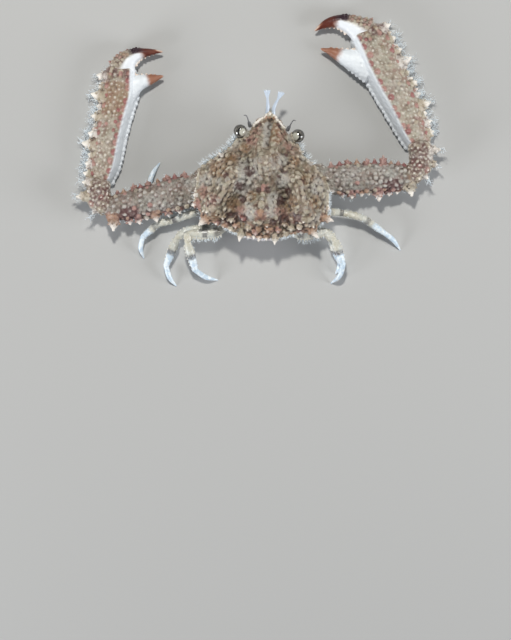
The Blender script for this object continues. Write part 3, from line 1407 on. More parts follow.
def coverLimb(growths, limb, rows):
    for kind, start, short, *row in rows:
        maker = beadRow if kind == "beads" else pepper
        maker(growths, limb, start, limb.length - short, *row)


def paleBelow(piece, high, low, top):
    paint(piece, white=(1.0 - smoothStep(low, top, high)) * 0.9)


def fuseClaw(word, part, bm, growths):
    return fusePiece(f"claw_{word}_{part}", bm, growths, *clawSkins[part])


def buildClawRoot(word, root):
    bm, growths = startPiece(root, 0.3, 0.5)
    coverLimb(growths, root, clawCover["root"])
    piece, places = fuseClaw(word, "base", bm, growths)
    paleBelow(piece, root.locate(places)[2], -0.5, 0.1)
    finishPiece(piece, armMaterial, "belly", f"claw_{word}_root")


def buildMerus(word, merus):
    # Spiny front and hind margins, granulate above, pale with round beads below.
    bm, growths = startPiece(merus, 0.35, 0.45)
    for row, taller in (("merusFront", 1.15), ("merusHind", 1.1)):
        marks = [(along, length * taller) for along, length in clawShape[word][row]]
        spineRow(growths, merus, marks, *clawRows[row])
    coverLimb(growths, merus, clawCover["merus"])
    piece, places = fuseClaw(word, "arm", bm, growths)
    along, out, high = merus.locate(places)
    paleBelow(piece, high, -0.35, 0.0)
    patch = smoothStep(0.6, 0.74, along) * (1 - smoothStep(0.82, 0.96, along))
    patch *= smoothStep(-0.1, 0.4, out) * smoothStep(-0.1, 0.3, high)
    edge = smoothStep(0.1, 0.7, np.abs(out)) * smoothStep(-0.3, 0.1, high)
    edge *= smoothStep(0.0, 0.3, along)
    cool = 0.6 * smoothStep(0.0, 0.4, high) * (1 - smoothStep(0.75, 0.95, along))
    stain = 0.06 + np.maximum(patch * 0.8, edge * 0.26)
    paint(piece, stain=stain, cool=cool, ochre=0.5 * smoothStep(0.86, 0.98, along))
    finishPiece(piece, armMaterial, "claw", f"claw_{word}_merus")


def buildCarpus(word, carpus):
    bm, growths = startPiece(carpus, 0.5, 0.5)
    spineRow(growths, carpus, clawShape[word]["carpusOuter"], *clawRows["carpusOuter"])
    hues = ("cream", "pink", "white", "cream", "pink")
    for corner, size in ((1.3, 0.6), (2.6, 0.5), (3.8, 0.45)):
        cones = [(1.0 + (carpus.length - 1.6) * i / 3.0, size) for i in range(4)]
        spineRow(growths, carpus, cones, corner, hues, 0.3, 0.6, size * 0.6)
    coverLimb(growths, carpus, clawCover["carpus"])
    piece, places = fuseClaw(word, "wrist", bm, growths)
    _, out, high = carpus.locate(places)
    paleBelow(piece, high, -0.35, 0.0)
    purple = smoothStep(0.1, 0.5, high) * (1 - smoothStep(0.5, 0.9, out))
    paint(piece, stain=0.03 + purple * 0.5)
    finishPiece(piece, clawMaterial, "claw", f"claw_{word}_carpus")


def addPalmSpines(growths, word, palm):
    # The outer margin with small spines between, a row inside it, and the pink crest.
    marks = clawShape[word]["palmOuter"]
    steps = [1.4 + (palm.length - 1.8) * i / 12.0 for i in range(13)]
    rows = {
        "palmOuter": [(along, length * 1.15) for along, length in marks],
        "palmBetween": [(along + 1.1, 0.9) for along, _ in marks[:-1]],
        "palmInner": [(along + 0.4, 0.35) for along, _ in marks],
    }
    for row, spots in rows.items():
        spineRow(growths, palm, spots, *clawRows[row])
    crest = [(step + chance.uniform(-0.4, 0.4), 0.55) for step in steps]
    spineRow(growths, palm, crest, *clawRows["palmCrest"])
    return rows["palmBetween"]


def buildPalm(word, palm, thumb):
    # Three-edged, with a beaded lower margin and the fixed finger.
    bm, growths = startPiece(palm, 0.4, 0.35)
    thumb.addTo(bm, 0.3, 0.8)
    end = palm.length
    between = addPalmSpines(growths, word, palm)
    coverLimb(growths, palm, clawCover["palmRows"])
    for row in clawCover["palmEnd"]:
        beadRow(growths, palm, end - 2.0, end, *row)
    for _ in range(5):
        spot = palm.surface(chance.uniform(1.5, end - 0.5), chance.choice((0.9, 1.2, 2.6)))
        growths.spine(*spot, 0.34, 0.45, tint[chance.choice(("red", "pink"))], 0.5, pale=0.2)
    coverLimb(growths, palm, clawCover["palm"])
    for i in range(5):
        spot = thumb.surface(0.4 + 0.95 * i, 5.0)
        growths.bead(*spot, 0.52 - 0.05 * i, tint["white"], 0.25)
    bitten = biteTeeth(growths, thumb, 6, facingUp=True)
    piece, places = fuseClaw(word, "hand", bm, growths)
    clampToFloor(piece)
    along, out, high = palm.locate(places)
    reach, _, _ = thumb.locate(places)
    inner = 1.0 - smoothStep(-0.62, -0.46, out)
    lower = 1.0 - smoothStep(0.2, 0.34, high)
    beyond = smoothStep(0.22, 0.4, reach) * (out < -0.75)
    spotty = 0.2 * smoothStep(-0.1, 0.5, np.abs(out)) + 0.3 * smoothStep(0.85, 1.0, along)
    ochre = smoothStep(0.4, 0.7, along) * (1 - smoothStep(0.85, 0.95, along))
    paint(
        piece, white=np.maximum(np.maximum(inner, lower), beyond),
        reach=np.where(out < -0.9, (reach - 0.12) / 0.88, 0.0), tooth=nearSpots(places, bitten),
        stain=clawSides[word]["stain"] + spotty, ochre=clawSides[word]["ochre"] * ochre,
        rose=0.15 + 0.22 * smoothStep(0.15, 0.5, np.abs(out)),
        browning=np.full(len(places), 0.25)
    )
    finishPiece(piece, handMaterial, "claw", f"claw_{word}_palm")
    return between


def buildFinger(word, finger):
    bm, growths = startPiece(finger, 0.25, 0.8)
    shape = clawSides[word]
    marks = [(0.5 + 1.05 * i, 0.6 - 0.08 * i) for i in range(6)]
    hues = ("pink", "cream", "pink")
    spineRow(growths, finger, marks, shape["fingerOuter"], hues, 0.3, 0.2, 0.28)
    hues = ("pink", "orange", "cream", "cream")
    for sizes, tries, *rise in clawCover["finger"]:
        pepper(growths, finger, 0.2, finger.length * 0.5, shape["strip"], sizes, tries, hues, *rise)
    bitten = biteTeeth(growths, finger, 6, facingUp=False)
    piece, places = fuseClaw(word, "dactyl", bm, growths)
    clampToFloor(piece)
    along, out, high = finger.locate(places)
    outside = out * sides[word]
    crusty = smoothStep(-0.1, 0.3, outside) * smoothStep(-0.3, 0.1, high)
    paint(
        piece, crusty=crusty * (1.0 - smoothStep(0.36, 0.5, along)),
        streak=smoothStep(-0.1, 0.35, outside), stain=crusty * 0.4,
        browning=np.ones(len(places)), tooth=nearSpots(places, bitten), reach=along
    )
    finishPiece(piece, fingerMaterial, "finger", f"claw_{word}_finger")


def buildClaw(word):
    shape = clawShape[word]
    side = sides[word]
    x, y, z, wide, tall = shape["merus"][0]
    stations = (
        (*bodyPoint(side * 6.6, 1.4, 4.0), 1.65, 1.1), (*bodyPoint(*shape["rootIn"], 4.1), 2.3, 1.25),
        (*bodyPoint(*shape["rootOut"], 4.4), 3.0, 1.45), (x, y, z - 0.2, wide - 0.1, tall - 0.2),
    )
    buildClawRoot(word, Limb(stations, armSection, side, True))
    merus = Limb(shape["merus"], armSection, side, True)
    carpus = Limb((shape["merus"][-1], *shape["carpus"]), armSection, side, True)
    palm = Limb(shape["palm"], palmSection, side, True)
    buildMerus(word, merus)
    buildCarpus(word, carpus)
    between = buildPalm(word, palm, Limb(shape["thumb"], armSection, 1.0, True))
    buildFinger(word, Limb(shape["finger"], armSection, 1.0, True))
    # Where hairs grow: limb, places, corner, hairs in a clump.
    tuftSpots[word] = (
        (merus, shape["merusHind"], 0.0, 2), (palm, shape["palmOuter"], 0.0, 16),
        (carpus, shape["carpusOuter"], 0.0, 9), (merus, shape["merusFront"], 5.0, 1),
        (palm, between, 0.35, 7),
    )
    print("claw", word)


def biteTeeth(growths, limb, count, facingUp):
    # Blunt pale teeth on the edge that meets the other finger.
    rightward = limb.path[-1][0] > limb.path[0][0]
    edge = 5.0 if rightward == facingUp else 0.0
    spots = []
    for i in range(count):
        along = limb.length * (0.34 + 0.58 * i / count)
        point, out = limb.surface(along, edge)
        growths.spine(point, out, 0.56 - 0.05 * i, 0.55 - 0.05 * i, tint["white"], 0.45, pale=0.0)
        spots.append((point + out * 0.4, 0.52 - 0.04 * i))
    return spots


def nearSpots(places, spots):
    near = np.zeros(len(places))
    for spot, radius in spots:
        gap = np.linalg.norm(places - np.array(spot), axis=1)
        near = np.maximum(near, 1.0 - smoothStep(0.8 * radius, 1.3 * radius, gap))
    return near


def handFinish(name, look, fingers):
    # The claw's crust, with the fixed finger's own tip colours.
    finish = Finish(name)
    fine = finish.noise(0.5, 3.0, 0.6)
    colour, _ = crustPaint(finish, look, 0.85, 0.7)
    colour = paleParts(finish, colour, look)
    colour = fingerPaint(finish, colour, fingers)
    colour = finish.mix(finish.mask("tooth"), colour, fingers["tip"])
    return finish.skin(colour, look, fine, "handRelief")


handMaterial = handFinish("granulateHand", clawLook, fingerLook)
for word in sides:
    buildClaw(word)

# Each leg: forward and height of its root, then x, y and height along the thigh, at the knee,
# the wrist, the ankle, the toe's bend and its tip.
legShape = {
    "leg2_left": (
        (-2.7, 4.0), (-10.4, -9.6, 1.9), (-20.2, -12.4, 1.35), (-23.3, -12.2, 1.3),
        (-24.3, -7.8, 1.2), (-23.4, -5.2, 0.9), (-21.9, -2.9, 0.0),
    ),
    "leg3_left": (
        (-5.4, 4.0), (-13.2, -13.7, 3.3), (-19.1, -15.7, 2.7), (-22.1, -16.4, 2.6),
        (-25.6, -19.3, 2.0), (-26.1, -21.8, 1.3), (-25.4, -24.0, 0.0),
    ),
    "leg4_left": (
        (-8.1, 3.9), (-11.9, -17.2, 2.85), (-15.9, -17.8, 2.7), (-18.0, -19.6, 2.8),
        (-20.5, -25.7, 1.9), (-19.7, -28.3, 1.2), (-18.3, -30.1, 0.0),
    ),
    "leg5_left": (
        (-11.1, 4.2), (-9.6, -18.4, 4.9), (-15.4, -18.7, 5.0), (-15.7, -20.5, 4.7),
        (-14.0, -26.7, 2.6), (-11.7, -28.2, 1.5), (-9.1, -28.8, 0.0),
    ),
    "leg2_right": (
        (-2.7, 4.0), (12.6, -10.2, 2.0), (19.6, -8.4, 1.4), (22.8, -7.8, 1.3),
        (27.4, -6.9, 1.0), (30.0, -6.2, 0.7), (31.9, -5.4, 0.0),
    ),
    "leg3_right": (
        (-5.4, 4.0), (13.5, -13.6, 3.8), (18.6, -14.1, 3.4), (22.7, -15.1, 3.3),
        (27.4, -18.3, 2.4), (29.6, -20.0, 1.5), (31.2, -22.2, 0.0),
    ),
    "leg4_right": (
        (-8.1, 3.7), (11.4, -16.6, 3.0), (14.4, -18.1, 2.6), (15.9, -19.9, 2.5),
        (17.9, -25.0, 1.5), (17.6, -26.4, 1.0), (16.9, -27.4, 0.0),
    ),
    "leg5_right": (
        (-11.1, 4.2), (9.3, -18.9, 4.7), (14.7, -18.1, 4.9), (16.5, -19.9, 4.7),
        (18.5, -25.6, 3.7), (17.7, -28.0, 2.5), (15.9, -29.5, 0.0),
    ),
}
legSizes = {
    "rootHalf": 1.0,
    "merusHalf": {"leg2": 0.8, "leg3": 0.84, "leg4": 0.84, "leg5": 1.0},
    "jointHalf": 0.7,
    "handHalf": {"leg2": 0.68, "leg3": 0.76, "leg4": 0.95, "leg5": 1.0},
    "toeHalf": 0.6,
    "tipHalf": 0.16,
    "voxel": 0.12,
    "teeth": 11,
    "toothStep": 0.062,
    "beads": {"carpus": 3, "propodus": 7},
    "grains": {"merus": 90, "carpus": 40, "propodus": 50, "dactyl": 0},
    "olive": {"merus": 0.85, "carpus": 0.9, "propodus": 0.8, "dactyl": 0.0},
}
legSection = tuple((math.cos(i * math.pi / 4), math.sin(i * math.pi / 4)) for i in range(8))
legLimbs = []
# Dark bands: share of the segment's length, half width, strength.
legBands = {
    "leg2": {"merus": ((0.7, 0.05, 0.8),), "propodus": ((0.4, 0.1, 0.6),)},
    "leg3": {"merus": ((0.55, 0.05, 0.8), (0.97, 0.05, 0.9)), "propodus": ((0.25, 0.1, 0.7),)},
    "leg4": {"merus": ((0.6, 0.06, 0.8),), "propodus": ((0.5, 0.1, 0.95),)},
    "leg5": {"merus": ((0.35, 0.08, 0.7), (0.62, 0.07, 0.8)), "propodus": ((0.5, 0.1, 0.95),)},
}


def legStations(name):
    # The four segments of a leg, each as stations from its root to its tip.
    root, thighPlace, *places = legShape[name]
    knee, wrist, ankle, bend, tip = [Vector(place) for place in places]
    pair, word = name.split("_")
    start = bodyPoint(sides[word] * 6.7, *root)
    joint = legSizes["jointHalf"]
    thigh = legSizes["merusHalf"][pair]
    toe = tip + Vector((0, 0, 0.1))
    chain = {
        "merus": (
            (start, legSizes["rootHalf"]), (thighPlace, thigh),
            (Vector(thighPlace).lerp(knee, 0.6), thigh), (knee, joint),
        ),
        "carpus": ((knee, joint), (knee.lerp(wrist, 0.55), joint * 1.15), (wrist, joint)),
        "propodus": (
            (wrist, joint * 0.95), (wrist.lerp(ankle, 0.35), legSizes["handHalf"][pair]),
            (ankle, joint * 0.85),
        ),
        "dactyl": (
            (ankle, joint * 0.8), (bend, legSizes["toeHalf"] * 0.9), (toe, legSizes["tipHalf"])
        ),
    }
    for part, rows in chain.items():
        yield part, [(*point, half, half * 0.95) for point, half in rows]


def addLegGrowths(growths, limb, name, part):
    # White teeth behind the last two meri, low beads along the outer edges, and fine grains.
    left = name.endswith("left")
    toothed = name[:4] in ("leg4", "leg5")
    if part == "merus" and toothed:
        for n in range(legSizes["teeth"]):
            along = limb.length * (0.3 + legSizes["toothStep"] * n)
            spot = limb.surface(along, 4.0 if left else 0.0)
            growths.spine(*spot, 0.32, 0.7, tint["white"], pale=1.0)
    count = legSizes["beads"].get(part, 0)
    for n in range(count):
        spot = limb.surface(limb.length * (0.1 + 0.8 * n / count), 0.0 if left else 4.0)
        growths.bead(*spot, 0.2 if toothed else 0.14, tint["cream"], 0.9)
    grains = legSizes["grains"][part], ("cream", "white"), 0.6
    pepper(growths, limb, 0.0, limb.length, (0.0, 8.0), (0.1, 0.18), *grains)


def buildLeg(name):
    for part, stations in legStations(name):
        limb = Limb(stations, legSection)
        bm, growths = startPiece(limb, 0.6, 0.6)
        addLegGrowths(growths, limb, name, part)
        piece, places = fusePiece(f"{name}_{part}_skin", bm, growths, legSizes["voxel"])
        clampToFloor(piece)
        along, _, high = limb.locate(places)
        band = np.zeros(len(places))
        for center, wide, strong in legBands[name[:4]].get(part, ()):
            near = 1.0 - smoothStep(wide * 0.4, wide * 1.4, np.abs(along - center))
            band = np.maximum(band, near * strong)
        top = smoothStep(-0.3, 0.3, high)
        fade = 1.0 - smoothStep(0.4, 0.62, along) if part == "propodus" else 1.0
        olive = legSizes["olive"][part] * fade * (0.3 + 0.7 * top)
        paint(piece, band=band * (0.2 + 0.8 * top), olive=olive)
        finishPiece(piece, legMaterial, "leg", f"{name}_{part}")
        legLimbs.append((name, part, limb))


for name in legShape:
    buildLeg(name)
print("legs")

bellyShape = {
    "sternum": (
        (1.0, 3.9), (3.4, 3.5), (5.5, 2.6), (6.8, 1.0), (6.9, -3.0), (6.9, -7.5), (6.7, -11.0),
        (5.4, -12.4), (2.6, -12.7), (0.0, -12.7),
    ),
    "low": 2.75,
    "high": 5.3,
    "abdomen": (
        (-13.45, 6.1, 3.0), (-13.6, 4.2, 3.2), (-13.0, 2.3, 3.0), (-11.4, 1.98, 2.6),
        (-5.5, 1.98, 1.6), (-1.2, 2.0, 0.8),
    ),
    # The swollen plates: forward and half length of each, in two rows.
    "plates": ((1.3, 1.65), (-2.7, 1.2), (-5.4, 1.2), (-8.1, 1.2), (-11.0, 1.15)),
    "plateRows": (5.6, 3.9),
    "plateSize": (1.35, 0.72),
    "granules": 220,
    "rings": 6.5,
}


def buildSternum():
    shape = bellyShape
    bm = bmesh.new()
    right = list(shape["sternum"])
    loop = right + [(-u, v) for u, v in right[::-1]]
    loop = [p for i, p in enumerate(loop) if i == 0 or p != loop[i - 1]]
    made = bmesh.ops.create_circle(bm, cap_ends=True, segments=len(loop), radius=1.0)
    for vert in made["verts"]:
        turn = math.atan2(vert.co.y, vert.co.x) / (2.0 * math.pi)
        vert.co = Vector((*loop[round(turn * len(loop)) % len(loop)], shape["low"] + 0.35))
    grown = bmesh.ops.extrude_face_region(bm, geom=bm.faces[:])
    lifted = [g for g in grown["geom"] if isinstance(g, bmesh.types.BMVert)]
    bmesh.ops.translate(bm, vec=(0, 0, shape["high"] - shape["low"] - 0.35), verts=lifted)
    bmesh.ops.recalc_face_normals(bm, faces=bm.faces)
    growths = Growths()
    wide, tall = shape["plateSize"]
    for side in (-1.0, 1.0):
        # Swollen plates at the feet of the limbs, with seams between them.
        for v, half in shape["plates"]:
            for u in shape["plateRows"]:
                matrix = stretched((side * u, v, shape["low"] + 0.62), (wide, half, tall))
                bmesh.ops.create_icosphere(bm, subdivisions=3, radius=1.0, matrix=matrix)
        for _ in range(shape["granules"]):
            u, v = chance.uniform(2.6, 6.6), chance.uniform(-12.2, 2.8)
            radius = chance.uniform(0.16, 0.3)
            spot = Vector((side * u, v, shape["low"] + 0.12))
            if growths.free(spot, radius):
                growths.bead(spot, -upward, radius, tint["white"], 0.5)
    piece, places = fusePiece("sternumPlates", bm, growths, 0.17)
    paint(piece, stain=(1.0 - smoothStep(0.5, 2.0, np.abs(places[:, 0]))) * 0.4)
    settle(piece, bellyMaterial, "belly", "sternum")


def buildAbdomen():
    stations = [(0.0, v, z, half, 0.42) for v, z, half in bellyShape["abdomen"]]
    limb = Limb(stations, legSection, side=(1.0, 0.0, 0.0), steps=10)
    # Each ring of the abdomen swells between its seams.
    rings = limb.reach / limb.length * math.pi * bellyShape["rings"]
    limb.half *= (0.86 + 0.14 * np.abs(np.sin(rings)) ** 0.6)[:, None]
    bm, growths = startPiece(limb, 0.15, 0.5)
    grains = (0.0, 8.0), (0.12, 0.24), 420, ("white", "cream"), 0.55
    pepper(growths, limb, 0.3, limb.length, *grains)
    piece, places = fusePiece("abdomenRings", bm, growths, 0.13)
    paint(piece, stain=0.35 * smoothStep(3.0, 5.0, places[:, 2]))
    settle(piece, bellyMaterial, "belly", "abdomen")


jawShape = {
    "size": (3.1, 4.9, 0.9),
    "at": (1.62, 6.85, 2.75),
    "bevel": 0.4,
    "ridgeSize": (0.55, 2.0, 0.5),
    "ridgeAt": (2.1, 6.4, 2.55),
    "beads": 9,
    "beadHigh": 2.35,
}


def buildJaws():
    shape = jawShape
    for word, side in sides.items():
        bm = bmesh.new()
        middle, ridgeAt = [(side * u, v, z) for u, v, z in (shape["at"], shape["ridgeAt"])]
        bevelledBlock(bm, shape["size"], middle, shape["bevel"], 3)
        growths = Growths()
        bmesh.ops.create_uvsphere(
            bm, u_segments=16, v_segments=10, radius=1.0,
            matrix=stretched(ridgeAt, shape["ridgeSize"])
        )
        for _ in range(shape["beads"]):
            u, v = side * chance.uniform(0.4, 2.9), chance.uniform(4.8, 9.1)
            radius = chance.uniform(0.16, 0.3)
            growths.bead(Vector((u, v, shape["beadHigh"])), -upward, radius, tint["white"], 0.5)
        piece, places = fusePiece(f"jaw_{word}", bm, growths, 0.14, smooth=5)
        u, v = np.abs(places[:, 0]), places[:, 1]
        paint(piece, stain=np.maximum(smoothStep(7.4, 8.8, v), 1 - smoothStep(0.3, 0.9, u)))
        settle(piece, bellyMaterial, "belly", f"maxilliped_{word}")


eyeShape = {
    "at": {"left": (-6.15, 9.2, 8.3), "right": (6.5, 9.45, 8.3)},
    "radius": 1.47,
    # Ways toward the middle of the view and of the pale patch, for the right eye.
    "look": (-0.1, -0.15, 0.98),
    "patch": (-0.42, -0.18, 0.80),
    "stalkFrom": (4.75, 8.7, 7.9),
    "stalkRadii": (0.8, 1.15),
    "stalkLength": 1.6,
    "stalkBeads": 10,
}


def turnedFrom(places, way, side):
    # The angle between each place and a way, mirrored for the left side.
    way = np.array((way[0] * side, *way[1:]))
    return np.arccos(np.clip(places @ (way / np.linalg.norm(way)), -1, 1))


def buildEyeball(side, word, at):
    bm = bmesh.new()
    bmesh.ops.create_uvsphere(
        bm, u_segments=64, v_segments=40, radius=eyeShape["radius"], matrix=Matrix.Translation(at)
    )
    ball = meshObject(f"eye_{word}_ball", bm)
    places = (vertexRows(ball.data, "co").astype(float) - np.array(at)) / eyeShape["radius"]
    # A dark crescent round a pale patch, seen through the clear ball from above.
    toPatch = turnedFrom(places, eyeShape["patch"], side)
    toLook = turnedFrom(places, eyeShape["look"], side)
    ragged = toPatch + 0.09 * np.sin(places[:, 0] * 9.0 + 1.0) * np.sin(places[:, 1] * 8.0)
    ring = smoothStep(0.58, 0.68, ragged) * (1.0 - smoothStep(0.8, 0.95, ragged))
    paint(
        ball, pale=(1.0 - smoothStep(0.52, 0.68, ragged)) * 0.9,
        pupil=ring * smoothStep(-0.25, 0.15, places[:, 0] * side),
        rim=smoothStep(0.85, 1.2, toLook)
    )
    settle(ball, eyeMaterial, "eye", f"eye_{word}")


def buildEyestalk(side, word, at):
    # The short stalk in its socket.
    u, v, z = eyeShape["stalkFrom"]
    foot = Vector((side * u, v, z))
    axis = (at - foot).normalized()
    matrix = stand(foot + axis * 0.25, axis)
    bm = bmesh.new()
    low, high = eyeShape["stalkRadii"]
    bmesh.ops.create_cone(
        bm, cap_ends=True, segments=24, radius1=low, radius2=high,
        depth=eyeShape["stalkLength"], matrix=matrix
    )
    growths = Growths()
    for i in range(eyeShape["stalkBeads"]):
        around = i / eyeShape["stalkBeads"] * 2 * math.pi
        spoke = matrix.to_3x3() @ Vector((math.cos(around), math.sin(around), 0.0))
        growths.bead(foot + axis * 0.85 + spoke * 1.0, spoke, 0.22, tint["cream"], 0.6)
    piece, places = fusePiece(f"eye_{word}_stalk", bm, growths, 0.12)
    paint(piece, cool=np.full(len(places), 0.7))
    settle(piece, shellMaterial, "belly")


def buildEyes():
    for word, side in sides.items():
        at = Vector(eyeShape["at"][word])
        buildEyeball(side, word, at)
        buildEyestalk(side, word, at)


feelerShape = {
    "antennule": ((1.1, 10.6, 5.5, 0.5), (0.8, 13.0, 6.0, 0.48), (0.7, 15.2, 6.7, 0.4)),
    "tips": {"left": (-1.2, 18.4, 7.4), "right": (1.9, 18.3, 7.4)},
    "antenna": (
        (4.1, 10.5, 7.2, 0.42), (4.4, 11.2, 7.6, 0.36), (4.6, 11.6, 7.9, 0.15),
        (4.9, 12.3, 8.4, 0.13), (5.25, 12.7, 8.7, 0.12), (5.7, 12.65, 8.8, 0.1),
    ),
    "tipHalf": 0.2,
    "fanHalf": 4,
    "fanSpread": (0.36, 0.12),
    "rodRadii": (0.14, 0.05),
    "rodLength": 2.4,
    "rodBack": 1.8,
}


def mirrored(rows, side):
    return [(side * u, v, z, half, half) for u, v, z, half in rows]


def buildAntennule(side, word):
    shape = feelerShape
    tip = shape["tips"][word]
    stations = [*mirrored(shape["antennule"], side), (*tip, shape["tipHalf"], shape["tipHalf"])]
    limb = Limb(stations, legSection)
    # The joints of the stalk show as slight waists.
    joints = limb.reach / limb.length * math.pi * 4.0
    limb.half *= (0.82 + 0.18 * np.abs(np.sin(joints)) ** 0.5)[:, None]
    bm = bmesh.new()
    limb.addTo(bm, 0.6, 0.8)
    # A fan of fine rods at the end.
    ahead = Vector(limb.ahead[-1])
    foot = Vector(tip) - ahead * shape["rodBack"]
    wide, high = shape["fanSpread"]
    thick, thin = shape["rodRadii"]
    for i in range(2 * shape["fanHalf"] + 1):
        lean = (i - shape["fanHalf"]) / shape["fanHalf"]
        rod = (ahead + Vector((wide * lean, 0.0, high * abs(lean)))).normalized()
        bmesh.ops.create_cone(
            bm, cap_ends=True, segments=6, radius1=thick, radius2=thin,
            depth=shape["rodLength"], matrix=stand(foot + rod * shape["rodLength"] / 2.0, rod)
        )
    piece, _ = fusePiece(f"antennule_{word}_rod", bm, None, 0.06)
    settle(piece, feelerMaterial, "feeler", f"antennule_{word}")


def buildFeelers():
    for word, side in sides.items():
        buildAntennule(side, word)
        bm = bmesh.new()
        Limb(mirrored(feelerShape["antenna"], side), legSection).addTo(bm, 0.6, 0.8)
        piece, _ = fusePiece(f"antenna_{word}_whip", bm, None, 0.045, 1)
        settle(piece, whipMaterial, "feeler", f"antenna_{word}")


buildSternum()
buildAbdomen()
buildJaws()
buildEyes()
buildFeelers()
print("underside, eyes and feelers")

setaShape = {
    "thick": 0.075,
    "tipShare": 0.25,
    "sunk": 0.08,
    "overlap": (0.06, 0.94),
    "curl": 0.45,
    "spineLength": (0.4, 1.0),
    "clumpLength": (1.0, 2.4),
    "clumpWide": 0.32,
    "stripStep": 0.4,
    "stripLength": (0.3, 0.9),
    "marginTries": 2600,
    "marginLength": (0.6, 1.6),
    "marginShort": (0.3, 0.7),
    "hangingCount": 34,
    "hangingLength": (0.7, 1.7),
    "legShare": 5,
    "legLength": (0.2, 0.45),
    "patch": 0.003,
    "batch": 60,
    "lowest": 0.02,
}


class Tufts:
    # Fine bristles as thin three-sided rods, each with its patch on the bake map.
    def __init__(self, name):
        self.name = name
        self.parts = []
        self.made = 0
        self.openBatch()

    def openBatch(self):
        self.bm = bmesh.new()
        self.layer = self.bm.loops.layers.uv.new("OFBake")

    def closeBatch(self):
        part = bpy.data.meshes.new("bristles")
        self.bm.to_mesh(part)
        self.bm.free()
        self.parts.append(part)

    def bristle(self, root, direction, length, uv):
        shape = setaShape
        self.made += 1
        if self.made % shape["batch"] == 0:
            self.closeBatch()
            self.openBatch()
        direction = direction.normalized()
        middle = Vector(root) + direction * (length / 2.0 - shape["sunk"])
        verts = bmesh.ops.create_cone(
            self.bm, cap_ends=True, segments=3, radius1=shape["thick"],
            radius2=shape["thick"] * shape["tipShare"], depth=length,
            matrix=stand(middle, direction)
        )["verts"]
        for i, vert in enumerate(verts):
            u = uv[0] + ((i % 3) / 3.0 - 0.33) * shape["patch"]
            v = uv[1] + ((i // 3) * 0.6 - 0.3) * shape["patch"]
            for loop in vert.link_loops:
                loop[self.layer].uv = (u, v)

    def strand(self, root, direction, length, uv, bends=4):
        # A curly hair: a few rods set end to end.
        step = length / bends
        longer, shorter = setaShape["overlap"]
        for _ in range(bends):
            direction = direction.normalized()
            self.bristle(root, direction, step + longer, uv)
            root = root + direction * step * shorter
            direction = direction + scatter(setaShape["curl"])

    def clump(self, root, out, count, lengths, spread, uv):
        for _ in range(count):
            wobble = scatter(spread)
            shift = scatter(setaShape["clumpWide"])
            self.strand(root + shift, out + wobble, chance.uniform(*lengths), uv)

    def finish(self, slot):
        self.closeBatch()
        joined = bmesh.new()
        for part in self.parts:
            joined.from_mesh(part)
            bpy.data.meshes.remove(part)
        for vert in joined.verts:
            vert.co.z = max(vert.co.z, setaShape["lowest"])
        piece = meshObject(self.name, joined)
        finishPiece(piece, setaMaterial, slot)
        print(self.name, len(piece.data.polygons))


def limbPatch(limb, along, row):
    # The bake map has a row for each edge, and a hair's place on it follows its limb.
    return 0.05 + 0.9 * along / limb.length, row


def buildClawSetae(word):
    shape = setaShape
    tufts = Tufts(f"claw_{word}_setae")
    for limb, marks, corner, most in tuftSpots[word]:
        row = 0.1 + 0.08 * corner
        for along, length in marks:
            base, out = limb.surface(along, corner)
            heavy = length > 2.0 or chance.random() < 0.45
            count = most if heavy else most // 3
            long = shape["clumpLength"] if most > 5 else shape["spineLength"]
            lean = out + scatter(0.35)
            for share in (0.4, 0.8):
                root = base + out * length * share
                tufts.clump(root, lean, count, long, 0.3, limbPatch(limb, along, row))
        strip = int(limb.length / shape["stripStep"])
        for i in range(strip):
            along = limb.length * (i + chance.random()) / strip
            base, out = limb.surface(along, corner + chance.uniform(-0.4, 0.3))
            uv = limbPatch(limb, along, row)
            tufts.clump(base, out, 1, shape["stripLength"], 0.45, uv)
    tufts.finish("claw")


def hairShare(u, v):
    # How many of the margin's places bear a hair: most on the left front and right side.
    frontSide = 0.0 < v < 7.4
    if armCrosses(u, v):
        return 0.0
    if frontSide and u < 0:
        return 0.6
    if u > 13.0 and -9.0 < v < 0.0:
        return 0.8
    return 0.3 if frontSide or v < -12.0 else 0.1


def buildMarginSetae():
    shape = setaShape
    tufts = Tufts("shell_setae")
    count = len(shellOutline)
    hub = Vector((*shellShape["hub"], 0.0))
    for _ in range(shape["marginTries"]):
        k = chance.uniform(0, count)
        u, v = outlineSpot(k)
        if chance.random() > hairShare(u, v) or v > 7.6:
            continue
        spot = Vector((u, v, shellShape["marginHigh"] - chance.uniform(0.1, 0.5)))
        out = (spot - hub).normalized()
        out.z = 0.1
        out += scatter(0.33)
        uv = (0.02 + 0.96 * k / count, 0.9 + chance.uniform(-0.02, 0.02))
        long = shape["marginLength"] if 0.0 < v < 7.4 else shape["marginShort"]
        turned = bodyMatrix.to_3x3() @ out
        tufts.bristle(bodyMatrix @ spot, turned, chance.uniform(*long) + 0.3, uv)
    tufts.finish("shell")


def buildLegSetae():
    shape = setaShape
    tufts = Tufts("leg_setae")
    for name, part, limb in legLimbs:
        if part == "dactyl":
            continue
        if part == "merus" and name.startswith("leg5"):
            hind = 4.0 if name.endswith("left") else 0.0
            for _ in range(shape["hangingCount"]):
                along = limb.length * chance.uniform(0.3, 0.95)
                base, out = limb.surface(along, hind + chance.uniform(-0.3, 0.3))
                uv = limbPatch(limb, along, 0.05 + 0.11 * hind)
                tufts.strand(base, out, chance.uniform(*shape["hangingLength"]), uv)
        for _ in range(int(limb.length * shape["legShare"])):
            along = chance.uniform(0.0, limb.length)
            corner = chance.uniform(0.0, 8.0)
            base, out = limb.surface(along, corner)
            uv = limbPatch(limb, along, 0.05 + 0.11 * corner)
            tufts.bristle(base, out, chance.uniform(*shape["legLength"]), uv)
    tufts.finish("leg")


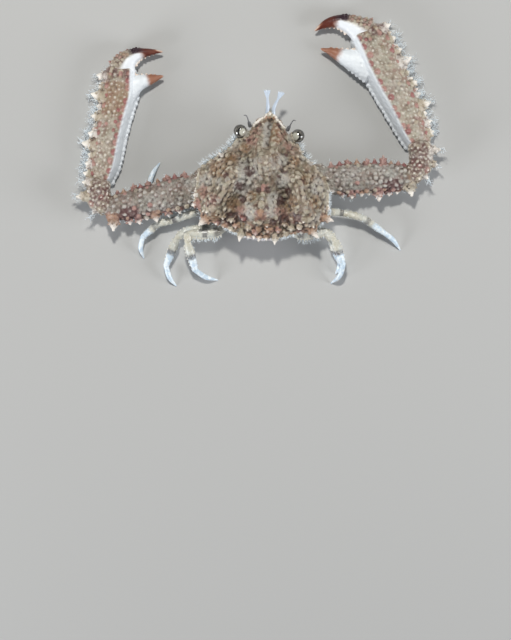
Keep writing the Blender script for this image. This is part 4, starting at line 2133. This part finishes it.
def buildSetae():
    for word in sides:
        buildClawSetae(word)
    buildMarginSetae()
    buildLegSetae()


buildSetae()

studioShape = {
    "floor": 3.0,
    "floorColour": (0.46, 0.46, 0.455),
    "world": (0.82, 0.86, 0.92),
    "worldPower": 0.16,
    "lights": (
        ((-0.03, 0.22, 0.44), 0.05, 1.75, (1.0, 0.985, 0.93)),
        ((-0.36, -0.24, 0.12), 0.2, 1.4, (0.95, 0.97, 1.0)),
        ((0.40, -0.12, 0.16), 0.22, 1.2, (0.95, 0.97, 1.0)),
    ),
}


def buildStudio():
    bm = bmesh.new()
    bmesh.ops.create_grid(bm, x_segments=1, y_segments=1, size=studioShape["floor"])
    floor = meshObject("studioFloor", bm)
    floor.data.materials.append(plainFinish("paleFloor", studioShape["floorColour"], 0.8))
    world = bpy.data.worlds.new("softRoom")
    world.use_nodes = True
    back = world.node_tree.nodes["Background"]
    back.inputs["Color"].default_value = (*studioShape["world"], 1.0)
    back.inputs["Strength"].default_value = studioShape["worldPower"]
    bpy.context.scene.world = world
    for i, (place, size, power, colour) in enumerate(studioShape["lights"]):
        light = bpy.data.lights.new(f"softLight{i}", "AREA")
        light.shape = "DISK"
        light.size = size
        light.energy = power
        light.color = colour
        lamp = bpy.data.objects.new(light.name, light)
        lamp.location = place
        lamp.rotation_euler = (-Vector(place)).to_track_quat("-Z", "Y").to_euler()
        bpy.context.scene.collection.objects.link(lamp)


cameraShape = {
    "at": (-0.00077, -0.03762, 0.7855),
    "lens": 200.0,
    "sensor": 36.0,
    "clip": (0.01, 20.0),
}


def buildCamera():
    data = bpy.data.cameras.new("photoCamera")
    data.lens = cameraShape["lens"]
    data.sensor_width = cameraShape["sensor"]
    data.clip_start, data.clip_end = cameraShape["clip"]
    # It looks straight down, as a camera does before it is turned.
    camera = bpy.data.objects.new("photoCamera", data)
    camera.location = cameraShape["at"]
    bpy.context.scene.collection.objects.link(camera)
    bpy.context.scene.camera = camera


buildStudio()
buildCamera()
bpy.context.scene.view_settings.view_transform = "Standard"
print("studio")
